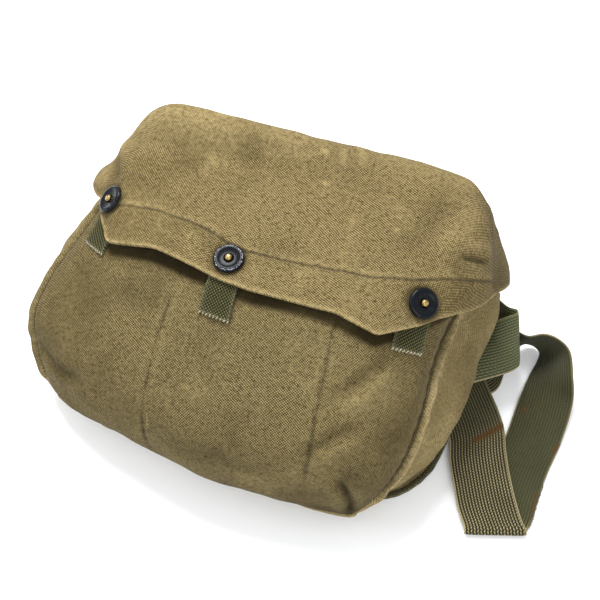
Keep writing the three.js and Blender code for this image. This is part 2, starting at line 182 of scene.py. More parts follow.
floor_mesh = bpy.data.meshes.new("floor")
half = FLOOR_SIZE / 2
floor_mesh.from_pydata([(-half, -half, 0), (half, -half, 0), (half, half, 0), (-half, half, 0)],
                       [], [(0, 1, 2, 3)])
floor = bpy.data.objects.new("floor", floor_mesh)
floor_finish = bpy.data.materials.new("white_table")
floor_finish.use_nodes = True
floor_shader = floor_finish.node_tree.nodes["Principled BSDF"]
floor_shader.inputs["Base Color"].default_value = FLOOR_WHITE
floor_shader.inputs["Roughness"].default_value = FLOOR_ROUGHNESS
floor_shader.inputs["Emission Color"].default_value = (1, 1, 1, 1)
floor_shader.inputs["Emission Strength"].default_value = FLOOR_GLOW
floor_mesh.materials.append(floor_finish)
bpy.context.collection.objects.link(floor)
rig.stage(floor)

# One row per lamp: name, place, aim, width, power
LAMPS = [
    ("key", (-0.50, 0.60, 1.5), (0.05, 0.0, 0.05), 0.8, 34),
    ("left_fill", (-1.5, -0.6, 1.2), (0.0, 0.0, 0.05), 1.2, 9),
    ("front_fill", (1.0, -1.3, 1.3), (0.05, 0.0, 0.05), 1.2, 17),
]
for lamp_name, place, aim, width, power in LAMPS:
    lamp_data = bpy.data.lights.new(lamp_name, "AREA")
    lamp_data.shape = "DISK"
    lamp_data.size = width
    lamp_data.energy = power
    lamp = bpy.data.objects.new(lamp_name, lamp_data)
    lamp.location = place
    lamp.rotation_euler = (Vector(aim) - Vector(place)).to_track_quat("-Z", "Y").to_euler()
    bpy.context.collection.objects.link(lamp)
world = bpy.data.worlds.new("studio")
world.use_nodes = True
sky = world.node_tree.nodes["Background"]
sky.inputs["Color"].default_value = SKY_WHITE
sky.inputs["Strength"].default_value = SKY_STRENGTH
bpy.context.scene.world = world
bpy.context.scene.view_settings.view_transform = "Standard"

# Front panel
# The big stuffed face of the bag, one piece of worn khaki cotton duck.
# Two long darts shape its belly, and its edge is sewn to the gusset all round.
MM = 0.001
SKEW_WIDTH = 130
CANVAS = 1.6
GAP = 0.35
FOOT_GAP = 0.7
SEAM_SETBACK = 2.1
MOUTH_ROW = 8.0
FRONT_START = {"middle": 0.16, "side": 0.72}
# The bag's cross-sections from bottom to top, in mm: its seams, its crown, its foot and how square it is.
# Places on the bag are (across, row): across is -1 to 1 from seam to seam and 2 at a foot, row counts sections.
COLUMNS = ("seam_y", "seam_z", "right", "left", "skew", "crown_x", "crown_y", "crown_z",
           "shoulder_right", "shoulder_left", "base_y", "base_right", "base_left", "bulge",
           "square_right", "square_left")
SECTIONS = np.array([
    [-77, 22, 106, 106, 5, 0, -83, 14, 0, 0, -49, 98, 98, 0, 0.90, 0.90],
    [-69.3, 24, 110.6, 116, 4.5, 0, -96, 30, 0, 0, -47, 107, 107, 1, 0.90, 1.05],
    [-60, 28, 117, 125, 2.4, -3, -99, 52, 0, 0, -43, 115, 115, 3, 0.90, 1.25],
    [-53.1, 43, 123.3, 130.5, 2.8, -5, -91, 74, 0, 0, -35, 122, 122, 6, 0.88, 1.28],
    [-42.8, 59, 127.2, 133, 0.8, -7, -71, 92, 0, 0, -20, 129, 129, 11, 0.84, 1.26],
    [-19, 69, 127, 132, 0.5, -8, -44, 104, 0, 0, 2, 131, 131, 15, 0.80, 1.24],
    [9, 71, 123, 129, 0, -9, -12, 116, 0, 0, 34, 132, 132, 21, 0.72, 1.18],
    [34, 80, 124, 123, 0, -9, 28, 122, 2, 1, 68, 131, 131, 20, 0.62, 1.00],
    [66, 88, 131, 119, -2, -6, 70, 127, 5, 4, 98, 126, 124, 17, 0.55, 0.70],
    [90, 90, 130, 108, -13, -10, 100, 134, 1, 8, 110, 120, 112, 12, 0.50, 0.50],
    [112, 46, 124, 106, -5, 0, 114, 78, 4, 3, 113, 118, 108, 4, 0.50, 0.50],
    [112, 3, 121, 110, 0, 0, 114, 3, 0, 0, 113, 118, 108, 0, 0.50, 0.50],
], float)
# How the strap beneath lifts the back: along its right edge, and in a channel across it
EDGE_LIFT = {"height": 9, "from_x": 40, "to_x": 134, "from_y": -40, "to_y": 15,
             "top_from_y": 72, "top_to_y": 112}
CHANNEL = {"height": 2.3, "y": 48, "half_width": 27, "ramp": 12, "from_x": -132, "end_ramp": 20}


# A column of the cross-sections at any row, on a smooth curve through them
def section(column, row):
    values = SECTIONS[:, COLUMNS.index(column)]
    last = len(values) - 1
    i = np.clip(np.floor(row).astype(int), 0, last - 1)
    f = row - i

    def at(k):
        return values[np.clip(k, 0, last)]

    slope_in = (at(i + 1) - at(i - 1)) / 2
    slope_out = (at(i + 2) - at(i)) / 2
    return ((2 * f**3 - 3 * f**2 + 1) * at(i) + (f**3 - 2 * f**2 + f) * slope_in
            + (3 * f**2 - 2 * f**3) * at(i + 1) + (f**3 - f**2) * slope_out)


# Eases from 0 to 1, as a ramp from low to high does; a bell falls from 1 within about its width
def smooth(value):
    s = np.clip(value, 0, 1)
    return s * s * (3 - 2 * s)


def ramp(value, low, high):
    return smooth((value - low) / (high - low))


def bell(gap, width):
    return np.exp(-(gap / width) ** 2)


# Height of the back above the table
def lift(x, y):
    e, c = EDGE_LIFT, CHANNEL
    edge = (e["height"] * ramp(x, e["from_x"], e["to_x"])
            * ramp(y, e["from_y"], e["to_y"])
            * (1 - ramp(y, e["top_from_y"], e["top_to_y"])))
    off = np.abs(y - c["y"]) - c["half_width"]
    channel = c["height"] * (1 - smooth(off / c["ramp"])) * smooth((x - c["from_x"]) / c["end_ramp"])
    return np.maximum(edge, channel)


# Points of the bag's face in mm: a squared arch from seam to seam, and below each seam a bulging side
def bag_face(across, row):
    across, row = np.broadcast_arrays(np.asarray(across, float), np.asarray(row, float))
    side = np.where(across < 0, -1.0, 1.0)
    down = np.clip(np.abs(across) - 1, 0, 1)
    seam_x = np.where(across < 0, -section("left", row), section("right", row))
    base_x = np.where(across < 0, -section("base_left", row), section("base_right", row))
    shoulder = np.where(across < 0, section("shoulder_left", row), section("shoulder_right", row))
    square = np.where(across < 0, section("square_left", row), section("square_right", row))
    turn = np.minimum(np.abs(across), 1) ** (1 / square) * np.pi / 2
    fall = 1 - np.maximum(np.cos(turn), 0) ** square
    crown_x = section("crown_x", row)
    x = crown_x + (seam_x - crown_x) * np.sin(turn) ** square
    seam_y = section("seam_y", row)
    y = section("crown_y", row) * (1 - fall) + seam_y * fall - section("skew", row) * x / SKEW_WIDTH
    z = (section("crown_z", row) * (1 - fall) + section("seam_z", row) * fall
         + shoulder * np.sin(2 * turn) ** 2)
    base_y = section("base_y", row)
    base_z = lift(base_x, base_y) + CANVAS + FOOT_GAP
    bow = np.sin(np.pi * down) ** 2
    return np.stack([x + (base_x - seam_x) * down + side * section("bulge", row) * bow,
                     y + (base_y - seam_y) * down,
                     z * (1 - down) + base_z * down], -1)


def unit(vectors):
    return vectors / np.maximum(np.linalg.norm(vectors, axis=-1, keepdims=True), 1e-9)


# Direction straight out of a face
def outward(face, across, row, step=0.02):
    along_x = face(across + step, row) - face(across - step, row)
    along_row = face(across, row + step) - face(across, row - step)
    return unit(np.cross(along_x, along_row))


# A soft swell made of seeded sine waves, about -1 to 1, with the given wavelength in mm
def swell(points, wavelength, seed, waves=18, spread=(0.7, 1.35), peak=1.6):
    random = np.random.default_rng(seed)
    ways = unit(random.normal(size=(waves, 3)))
    pace = 2 * np.pi / wavelength * random.uniform(*spread, waves)
    phase = random.uniform(0, 2 * np.pi, waves)
    total = np.zeros(points.shape[:-1])
    for way, rate, start in zip(ways, pace, phase):
        total += np.sin((points @ way) * rate + start)
    return total / math.sqrt(waves / 2) / peak


# Swells added up, each with its wavelength in mm, its seed and its height in mm
def swells(points, table):
    return sum(swell(points, wavelength, seed) * height for wavelength, seed, height in table)


# Distance in mm from each point to a line of points, and how far along the line the nearest place is
def from_line(points, line):
    nearest = np.full(points.shape[:-1], 1e9)
    along = np.zeros(points.shape[:-1])
    lengths = np.linalg.norm(np.diff(line, axis=0), axis=1)
    ends = np.concatenate([[0], np.cumsum(lengths)])
    for k, (a, b) in enumerate(zip(line[:-1], line[1:])):
        t = np.clip(((points - a) @ (b - a)) / max(lengths[k] ** 2, 1e-9), 0, 1)
        gap = np.linalg.norm(points - (a + t[..., None] * (b - a)), axis=-1)
        closer = gap < nearest
        nearest = np.where(closer, gap, nearest)
        along = np.where(closer, ends[k] + t * lengths[k], along)
    return nearest, along, ends[-1]


# Across and row of places spaced evenly along a line of (across, row) points
def spaced(line, count):
    stops = np.linspace(0, len(line) - 1, count)
    return [np.interp(stops, np.arange(len(line)), column) for column in np.array(line, float).T]


# Height of a fold that runs along a line given in (across, row): negative depth is a valley
def fold(face, points, line, width, depth, taper=0.3):
    gap, along, length = from_line(points, face(*spaced(line, 4 * len(line))))
    fade = smooth(along / (taper * length)) * smooth((length - along) / (taper * length))
    return depth * bell(gap, width) * fade


# Writes on a mesh, for each of its points, where it lies in the weave in mm and how marked it is
def dress(mesh, measure, marks):
    weave = mesh.uv_layers.new(name="weave")
    corners = np.empty(len(mesh.loops), int)
    mesh.loops.foreach_get("vertex_index", corners)
    weave.data.foreach_set("uv", (measure[corners] * MM).ravel())
    for mark, values in marks.items():
        layer = mesh.attributes.new(mark, "FLOAT", "POINT")
        layer.data.foreach_set("value", values.ravel().astype(np.float32))


# Closed cloth between an outer and an inner grid of points in mm.
# Its weave is measured along the outer grid unless a measure is given.
def cloth(name, outer, inner, finish, measure=None, **marks):
    rows, cols = outer.shape[:2]
    points = np.concatenate([outer.reshape(-1, 3), inner.reshape(-1, 3)]) * MM
    index = np.arange(rows * cols).reshape(rows, cols)
    under = index + rows * cols

    def quads(a, b, c, d):
        return np.stack([a, b, c, d], -1).reshape(-1, 4)

    def rim(top, below):
        return quads(top[:-1], below[:-1], below[1:], top[1:])

    faces = np.concatenate([
        quads(index[:-1, :-1], index[1:, :-1], index[1:, 1:], index[:-1, 1:]),
        quads(under[:-1, :-1], under[:-1, 1:], under[1:, 1:], under[1:, :-1]),
        rim(index[:, 0], under[:, 0]), rim(index[::-1, -1], under[::-1, -1]),
        rim(index[0, ::-1], under[0, ::-1]), rim(index[-1], under[-1]),
    ])
    mesh = bpy.data.meshes.new(name)
    mesh.from_pydata(points.tolist(), [], faces.tolist())
    if measure is None:
        first = np.linalg.norm(np.diff(outer, axis=0, prepend=outer[:1]), axis=-1).cumsum(0)
        second = np.linalg.norm(np.diff(outer, axis=1, prepend=outer[:, :1]), axis=-1).cumsum(1)
        measure = np.stack(np.broadcast_arrays(first.mean(1, keepdims=True), second - second[:, -1:]), -1)
    dress(mesh, np.tile(measure.reshape(-1, 2), (2, 1)),
          {mark: np.stack([values, values]) for mark, values in marks.items()})
    return piece(name, mesh, finish)


# Size of the flat cut a cloth grid was sewn from, measured along the cloth, in metres
def flat_cut(outer):
    first = np.linalg.norm(np.diff(outer, axis=0), axis=-1).sum(0)
    second = np.linalg.norm(np.diff(outer, axis=1), axis=-1).sum(1)
    corner = np.cross(outer[1:, :-1] - outer[:-1, :-1], outer[:-1, 1:] - outer[:-1, :-1])
    other = np.cross(outer[1:, 1:] - outer[:-1, 1:], outer[1:, 1:] - outer[1:, :-1])
    area = (np.linalg.norm(corner, axis=-1) + np.linalg.norm(other, axis=-1)).sum() / 2
    return {"flat": (first.max() * MM, second.max() * MM), "area": area * MM * MM}


CREASE_ANGLE = math.radians(50)


# A finished piece: smooth apart from its sharp edges, in one material
def piece(name, mesh, finish):
    mesh.validate()
    mesh.shade_smooth()
    mesh.set_sharp_from_angle(angle=CREASE_ANGLE)
    mesh.materials.append(finish)
    obj = bpy.data.objects.new(name, mesh)
    bpy.context.collection.objects.link(obj)
    return obj


# A socket in a material, on which arithmetic adds Math nodes
class Shade:
    def __init__(self, tree, socket):
        self.tree = tree
        self.socket = socket

    def math(self, operation, *others):
        node = self.tree.nodes.new("ShaderNodeMath")
        node.operation = operation
        for place, value in enumerate((self,) + others):
            if isinstance(value, Shade):
                self.tree.links.new(value.socket, node.inputs[place])
            else:
                node.inputs[place].default_value = value
        return Shade(self.tree, node.outputs[0])

    def __add__(self, other):
        return self.math("ADD", other)

    __radd__ = __add__

    def __mul__(self, other):
        return self.math("MULTIPLY", other)

    __rmul__ = __mul__

    def __sub__(self, other):
        return self.math("SUBTRACT", other)

    def __rsub__(self, other):
        return (self * -1) + other

    def __truediv__(self, other):
        return self.math("DIVIDE", other)

    def sine(self):
        return self.math("SINE")

    def clear(self, low, high):
        return ((self - low) / (high - low)).math("MINIMUM", 1.0).math("MAXIMUM", 0.0)


# Adds a node to a tree: _ stands for a space in a socket's name, and _0 for the first socket
def add_node(tree, kind, settings, sockets):
    made = tree.nodes.new(kind)
    for label, value in (settings or {}).items():
        setattr(made, label, value)
    for label, value in sockets.items():
        target = made.inputs[int(label[1:]) if label[0] == "_" else label.replace("_", " ")]
        if isinstance(value, Shade):
            value = value.socket
        if isinstance(value, bpy.types.NodeSocket):
            tree.links.new(value, target)
        else:
            target.default_value = value
    return made.outputs


# A material and the one way its nodes are made
class Finish:
    def __init__(self, name, roughness=0.9, sheen=0.0, specular=0.5):
        self.material = bpy.data.materials.new(name)
        self.material.use_nodes = True
        self.tree = self.material.node_tree
        self.shader = self.tree.nodes["Principled BSDF"]
        self.shader.inputs["Roughness"].default_value = roughness
        self.shader.inputs["Sheen Weight"].default_value = sheen
        self.shader.inputs["Specular IOR Level"].default_value = specular

    def node(self, kind, settings=None, out=0, **sockets):
        return Shade(self.tree, add_node(self.tree, kind, settings, sockets)[out])

    def mark(self, name):
        return self.node("ShaderNodeAttribute", {"attribute_name": name}, "Fac")

    def noise(self, scale, detail=3.0, rough=0.55, vector=None):
        place = vector or self.node("ShaderNodeTexCoord", out="Object")
        return self.node("ShaderNodeTexNoise", None, "Fac", Vector=place, Scale=scale, Detail=detail,
                         Roughness=rough)

    def mix(self, share, a, b):
        return self.node("ShaderNodeMix", {"data_type": "RGBA"}, 2, _0=share, _6=a, _7=b)

    def weave(self):
        uv = self.node("ShaderNodeUVMap", {"uv_map": "weave"})
        split = self.node("ShaderNodeSeparateXYZ", Vector=uv)
        other = Shade(self.tree, split.socket.node.outputs[1])
        return uv, split, other

    def set(self, name, value):
        self.tree.links.new(value.socket, self.shader.inputs[name])

    def bump(self, height, distance, strength=1.0):
        normal = self.node("ShaderNodeBump", Height=height, Distance=distance, Strength=strength)
        self.set("Normal", normal)


# The yarns cross on the bias: their spacing, and the two ways across them
YARN_PITCH = 1.2 * MM
YARN_WAY, BEAD_WAY = (0.55, 0.83), (0.80, -0.60)
# Shades of a tone of duck, as shares of its red, green and blue: deep, pale, and the dark that yarn gaps, stains and
# painted shade take
DEEP_SHARE, PALE_SHARE, SHADE_AND_DIRT_SHARE = (0.50, 0.50, 0.44), (2.9, 3.1, 3.9), (0.26, 0.26, 0.26)
# Metres across the bag between which the weave grows crisp, and calms again at the far right
CRISP_SIDE, CALM_END = (-0.09, 0.03), (0.105, 0.125)


def tinted(tone, share):
    return tuple(c * k for c, k in zip(tone, share)) + (1,)


# Worn khaki duck: crossing yarns with pale tops, crisper on the bag's right, faded patches, stains, and grime with
# painted shade from a mark
def khaki_duck(name, tone, ribs=1.0):
    finish = Finish(name, 0.93, sheen=0.02, specular=0.08)
    deep, pale, dark_and_shade = (tinted(tone, share) for share in (DEEP_SHARE, PALE_SHARE, SHADE_AND_DIRT_SHARE))
    turns = 2 * math.pi / YARN_PITCH
    uv, u, v = finish.weave()
    place = finish.node("ShaderNodeTexCoord", out="Object")
    side = finish.node("ShaderNodeSeparateXYZ", Vector=place)
    bend = finish.noise(24.0, 2.0, vector=uv) * 5.0 + finish.noise(170.0, 2.0, vector=uv) * 1.8
    yarn = ((u * YARN_WAY[0] + v * YARN_WAY[1]) * turns + bend).sine() * 0.5 + 0.5
    bead = ((u * BEAD_WAY[0] + v * BEAD_WAY[1]) * turns + bend * 1.4).sine() * 0.5 + 0.5
    fleck = finish.noise(640.0, 2.0, 0.6, vector=uv).clear(0.34, 0.66)
    slub = finish.noise(330.0, 3.0, 0.6, vector=uv).clear(0.34, 0.66)
    broad = finish.noise(8.0, 4.0, 0.6)
    stain = finish.noise(15.0, 5.0, 0.62).clear(0.54, 0.70)
    blotch = finish.noise(26.0, 5.0, 0.68)
    patch = finish.noise(70.0, 4.0, 0.6)
    worn = finish.mark("worn")
    grime = finish.mark("grime")
    crisp = (side.clear(*CRISP_SIDE) * 0.6 + blotch.clear(0.40, 0.66) * 0.5 + 0.12).math("MINIMUM", 1.0) * ribs
    crisp = crisp * (1 - side.clear(*CALM_END) * 0.65)
    fade = broad.clear(0.40, 0.60) * 0.6 + blotch.clear(0.38, 0.62) * 0.5 + patch.clear(0.35, 0.7) * 0.2
    tops = (yarn * (bead * 0.8 + 0.2) * (slub * 0.7 + fleck * 0.7 + 0.1)).clear(0.10, 0.75)
    body = finish.mix(fade.clear(0.0, 1.0), deep, tone + (1,))
    holes = (1 - yarn * 0.7) * (1 - bead * 0.5) * (1 - fleck * 0.6)
    gaps = holes * (crisp * 0.85 + 0.2) + (1 - fleck) * 0.10
    grain = finish.mix(gaps.clear(0.0, 1.0), body, dark_and_shade)
    rubbed = (1 - blotch).clear(0.52, 0.66) * (slub * 0.2 + 0.1) + patch.clear(0.62, 0.76) * fleck * 0.34
    lit = tops * (crisp * 1.5 + 0.2) + fleck * 0.06 + rubbed + worn * (0.2 + slub * 0.35 + fleck * 0.25)
    shade = finish.mix(lit.clear(0.0, 1.0), grain, pale)
    # Painted shade and grime from the mark, mottled, darken the cloth along with the stains
    mottle = blotch.clear(0.3, 0.75) * 0.5 + 0.7
    soiled_and_shaded = grime * mottle + stain * 0.44
    finish.set("Base Color", finish.mix(soiled_and_shaded.clear(0.0, 1.0), shade, dark_and_shade))
    finish.bump(tops * (crisp * 0.8 + 0.1) + fleck * 0.25 + slub * 0.2, 0.0004, 0.7)
    return finish.material


THREAD_INPUTS = {"Line": "Geometry", "Spacing": "Float", "Length": "Float", "Thickness": "Float",
                 "Slant": "Float", "Stray": "Float", "Thread": "Material"}


# Rows of stitches or loose thread ends: one small thread piece every so often along a line
def thread_tree():
    tree = bpy.data.node_groups.new("thread_row", "GeometryNodeTree")
    tree.is_modifier = True
    for label, kind in THREAD_INPUTS.items():
        tree.interface.new_socket(label, in_out="INPUT", socket_type="NodeSocket" + kind)
    tree.interface.new_socket("Stitches", in_out="OUTPUT", socket_type="NodeSocketGeometry")

    def node(kind, settings=None, **sockets):
        return add_node(tree, kind, settings, sockets)

    given = node("NodeGroupInput")
    line = node("GeometryNodeMeshToCurve", Mesh=given["Line"])
    points = node("GeometryNodeCurveToPoints", {"mode": "LENGTH"}, Curve=line["Curve"],
                  Length=given["Spacing"])
    bead = node("GeometryNodeMeshUVSphere", Segments=8, Rings=6, Radius=0.5)
    size = node("ShaderNodeCombineXYZ", X=given["Thickness"], Y=given["Thickness"], Z=given["Length"])
    thread = node("GeometryNodeTransform", Geometry=bead["Mesh"], Scale=size[0])
    low = node("ShaderNodeVectorMath", {"operation": "SCALE"}, _0=(-1.0, -1.0, -1.0), Scale=given["Stray"])
    high = node("ShaderNodeVectorMath", {"operation": "SCALE"}, _0=(1.0, 1.0, 1.0), Scale=given["Stray"])
    stray = node("FunctionNodeRandomValue", {"data_type": "FLOAT_VECTOR"}, _0=low[0], _1=high[0], Seed=7)
    slant = node("ShaderNodeCombineXYZ", X=given["Slant"], Y=0.0, Z=0.0)
    lean = node("ShaderNodeVectorMath", {"operation": "ADD"}, _0=stray[0], _1=slant[0])
    tilt = node("FunctionNodeEulerToRotation", Euler=lean[0])
    turned_way = node("FunctionNodeRotateRotation", {"rotation_space": "LOCAL"},
                      Rotation=points["Rotation"], Rotate_By=tilt[0])
    placed = node("GeometryNodeInstanceOnPoints", Points=points["Points"], Instance=thread["Geometry"],
                  Rotation=turned_way[0])
    plain = node("GeometryNodeRealizeInstances", Geometry=placed["Instances"])
    coloured = node("GeometryNodeSetMaterial", Geometry=plain["Geometry"], Material=given["Thread"])
    node("NodeGroupOutput", Stitches=coloured["Geometry"])
    return tree


THREADS = thread_tree()


# Each line is an array of points in mm; sizes of the thread pieces are in mm too, and their angles in radians
def stitches(name, lines, thread, slot, spacing, length, thickness, slant=0.0, stray=0.06):
    points = np.concatenate(lines) * MM
    starts = np.cumsum([0] + [len(line) for line in lines])
    edges = [(k, k + 1) for a, b in zip(starts[:-1], starts[1:]) for k in range(a, b - 1)]
    guide_mesh = bpy.data.meshes.new(name + "_guide")
    guide_mesh.from_pydata(points.tolist(), edges, [])
    guide = bpy.data.objects.new(name + "_guide", guide_mesh)
    bpy.context.collection.objects.link(guide)
    modifier = guide.modifiers.new("threads", "NODES")
    modifier.node_group = THREADS
    values = {"Spacing": spacing * MM, "Length": length * MM, "Thickness": thickness * MM,
              "Slant": slant, "Stray": stray, "Thread": thread}
    for item in THREADS.interface.items_tree:
        if item.in_out == "INPUT" and item.name in values:
            modifier[item.identifier] = values[item.name]
    seen = guide.evaluated_get(bpy.context.evaluated_depsgraph_get())
    mesh = bpy.data.meshes.new_from_object(seen)
    mesh.name = name
    bpy.data.objects.remove(guide)
    mesh.shade_smooth()
    row = bpy.data.objects.new(name, mesh)
    bpy.context.collection.objects.link(row)
    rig.ride(row, "root")
    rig.slot(row, slot)


# Cotton thread: a dull twisted yarn with uneven colour
def cotton_thread(name, dark, light):
    finish = Finish(name, 0.85)
    twist = finish.noise(900.0, 2.0)
    finish.set("Base Color", finish.mix(twist.clear(0.35, 0.65), dark, light))
    finish.bump(twist, 0.0001, 0.5)
    return finish.material


FRONT_TONE = (0.0935, 0.0685, 0.0251)
front_duck = khaki_duck("front_duck", FRONT_TONE)
dark_thread = cotton_thread("dark_thread", (0.030, 0.024, 0.010, 1), (0.075, 0.060, 0.028, 1))
straw_thread = cotton_thread("straw_thread", (0.15, 0.12, 0.05, 1), (0.36, 0.30, 0.16, 1))
pale_thread = cotton_thread("pale_thread", (0.24, 0.21, 0.13, 1), (0.52, 0.47, 0.34, 1))

# Folds on the front: line in (across, row), width and depth in mm
FRONT_FOLDS = [
    ([(0.68, 5.9), (0.58, 5.36), (0.50, 4.88), (0.40, 4.5)], 4.5, -2.4),
    ([(0.72, 5.75), (0.63, 5.2), (0.56, 4.7), (0.47, 4.3)], 6, 1.6),
    ([(0.64, 4.35), (0.52, 3.92), (0.46, 3.52), (0.38, 3.05)], 4.5, -2.2),
    ([(0.66, 4.1), (0.56, 3.7), (0.50, 3.3), (0.44, 2.9)], 6, 1.4),
    ([(-0.47, 5.34), (-0.265, 5.24), (-0.12, 5.4)], 9, -1.6),
    ([(-0.90, 3.3), (-0.72, 2.85), (-0.55, 2.65), (-0.36, 2.8)], 4.5, -2.2),
    ([(-0.90, 2.9), (-0.72, 2.5), (-0.55, 2.3), (-0.36, 2.4)], 6, 1.4),
    ([(0.57, 3.0), (0.66, 2.3), (0.74, 1.6), (0.80, 0.9), (0.84, 0.35)], 2.6, -2.8),
    ([(0.64, 3.0), (0.73, 2.2), (0.82, 1.3), (0.90, 0.6)], 4, 1.8),
    ([(0.52, 2.7), (0.60, 2.1), (0.68, 1.3), (0.75, 0.6)], 4, 1.4),
    ([(0.0, 5.3), (0.03, 4.6), (0.10, 3.9)], 8, -1.1),
    ([(-0.57, 5.84), (-0.49, 4.97), (-0.37, 4.36)], 9, -1.3),
    ([(0.20, 2.6), (0.05, 2.3), (-0.10, 2.4)], 9, -1.2),
]
# Darts: sewn lines that pull the cloth in, each in (across, row) from the flap down
DARTS = [
    [(-0.153, 6.31), (-0.145, 5.0), (-0.128, 3.7), (-0.131, 2.62), (-0.133, 2.0), (-0.135, 1.3)],
    [(0.40, 6.3), (0.41, 4.84), (0.425, 4.0), (0.441, 3.32), (0.444, 2.89), (0.45, 2.5)],
]


# How far across the front reaches at a row before it turns under into the seam
def front_limit(side, row):
    rise = np.hypot(section("crown_y", row) - section("seam_y", row),
                    section("crown_z", row) - section("seam_z", row))
    square = np.where(side < 0, section("square_left", row), section("square_right", row))
    share = (SEAM_SETBACK / np.maximum(rise, SEAM_SETBACK * 2)) ** (1 / square)
    return (np.arccos(share) / (np.pi / 2)) ** square


# Points that stand a height in mm off a face
def raised(face, across, row, height):
    return face(across, row) + outward(face, across, row) * np.asarray(height)[..., None]


# Lower edge of the flap that hangs over this panel, from wing tip to wing tip: (across, row)
FLAP_EDGE = np.array([
    [-1.40, 8.45], [-0.87, 7.16], [-0.78, 7.06], [-0.656, 6.72], [-0.549, 6.39], [-0.473, 6.085], [-0.26, 6.18],
    [-0.01, 6.02], [0.10, 5.99], [0.40, 6.11], [0.57, 6.00], [0.76, 6.52], [1.03, 7.53], [1.40, 8.45],
])
EDGE_SOFTENING = (-0.012, 0, 0.012)


def edge_row(across):
    return sum(np.interp(across + shift, *FLAP_EDGE.T) for shift in EDGE_SOFTENING) / len(EDGE_SOFTENING)


# What a dart does to the cloth: a groove between two ridges, puckered by its thread, in mm
DART = {"depth": 0.6, "width": 1.5, "ridge": 0.25, "ridge_gap": 4, "ridge_width": 3, "pucker": 0.22,
        "pucker_pitch": 7.5, "pucker_width": 6, "fade": 14, "thread_sink": 0.35}
# What the seam does to the cloth beside it, in mm, with its ripples for each row
SEAM_PULL = {"width": 9, "ripple": 0.3, "ripple_pace": 17}
# Darkening on the front, its strength in each kind of place and how far it reaches: painted shade in fold valleys, in
# the seam's groove, under the flap's edge and low on the belly, a dark line along each dart, and darker towards the
# right
FRONT_SHADE_AND_DARKENING = {"valley": 0.55, "valley_depth": 3.2, "dart": 0.55, "dart_width": 1.1, "seam": 0.7, "seam_width": 3.0,
              "flap_from": -0.24, "flap_to": -0.10, "belly": 0.5, "belly_from": 4.2, "belly_to": 0.2,
              "right": 0.26, "right_from": 0.4, "right_to": 0.8}
# Wear on the front, in the same way
FRONT_RUB = {"crest": 0.5, "crest_height": 2.0, "dart": 0.16, "dart_gap": 3.5, "dart_width": 2.5, "belly": 0.35,
             "belly_row": 1.6, "belly_rows": 0.7, "seam": 0.3, "seam_gap": 6, "seam_width": 5}
# Slack in the cloth: wavelength in mm, seed and height in mm of each swell
FRONT_SWELLS = [(95, 3, 1.3), (40, 4, 0.55), (15, 5, 0.14)]
DART_STEPS, TACK_STEPS, TACK_LIFT = 60, 12, 0.5
FRONT_ACROSS, FRONT_UP = 220, 165
share = np.linspace(-1, 1, FRONT_ACROSS)[:, None]
climb = np.linspace(0, 1, FRONT_UP)[None, :]
start = FRONT_START["middle"] + FRONT_START["side"] * share**2
front_row = start + (MOUTH_ROW - start) * climb
front_across = share * front_limit(share, front_row)
front_base = bag_face(front_across, front_row)
folds = sum(fold(bag_face, front_base, *row) for row in FRONT_FOLDS)
relief = swells(front_base, FRONT_SWELLS) + folds
dark_and_shade, rub = FRONT_SHADE_AND_DARKENING, FRONT_RUB
# Painted shade in the valleys of the folds
front_shade_and_darkening = np.clip(-folds / dark_and_shade["valley_depth"], 0, 1) * dark_and_shade["valley"]
front_worn = np.clip(folds / rub["crest_height"], 0, 1) * rub["crest"]
for line in DARTS:
    gap, along, length = from_line(front_base, bag_face(*np.array(line).T))
    held = smooth((length - along) / DART["fade"])
    pucker = np.sin(along * 2 * np.pi / DART["pucker_pitch"]) * DART["pucker"] * bell(gap, DART["pucker_width"])
    ridge = DART["ridge"] * bell(gap - DART["ridge_gap"], DART["ridge_width"])
    relief = relief + held * (-DART["depth"] * bell(gap, DART["width"]) + ridge + pucker)
    front_shade_and_darkening = front_shade_and_darkening + dark_and_shade["dart"] * held * bell(gap, dark_and_shade["dart_width"])
    front_worn = front_worn + rub["dart"] * held * bell(gap - rub["dart_gap"], rub["dart_width"])
seam_gap = (1 - np.abs(share)) * section("right", front_row)
seam_hold = bell(seam_gap, SEAM_PULL["width"])
ripple = SEAM_PULL["ripple"] * seam_hold * np.sin(front_row * SEAM_PULL["ripple_pace"])
relief = relief * (1 - seam_hold) + ripple
# Painted shade in the seam's groove, a painted shadow under the flap's edge, painted shade low on the belly, and
# darker towards the right
front_shade_and_darkening = (front_shade_and_darkening + dark_and_shade["seam"] * bell(seam_gap, dark_and_shade["seam_width"])
               + ramp(front_row - edge_row(front_across), dark_and_shade["flap_from"], dark_and_shade["flap_to"])
               + dark_and_shade["belly"] * ramp(front_row, dark_and_shade["belly_from"], dark_and_shade["belly_to"])
               + dark_and_shade["right"] * ramp(front_across, dark_and_shade["right_from"], dark_and_shade["right_to"]))
front_worn = (front_worn + rub["belly"] * bell(front_row - rub["belly_row"], rub["belly_rows"])
              + rub["seam"] * bell(seam_gap - rub["seam_gap"], rub["seam_width"]))
front_outer = raised(bag_face, front_across, front_row, relief)
front_panel = cloth("canvas_front", front_outer,
                    raised(bag_face, front_across, front_row, relief - CANVAS), front_duck,
                    worn=np.clip(front_worn, 0, 1), grime=np.clip(front_shade_and_darkening, 0, 1))
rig.ride(front_panel, "root")
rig.replaces(front_panel, "front_panel")
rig.slot(front_panel, "canvas")
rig.sheet(front_panel, held="stretched", rests_on=["gusset", "front_welt"], **flat_cut(front_outer))
dart_lines = [raised(bag_face, *spaced(line, DART_STEPS), -DART["thread_sink"]) for line in DARTS]
stitches("dart_stitches", dart_lines, dark_thread, "canvas", spacing=2.6, length=1.6, thickness=0.6)
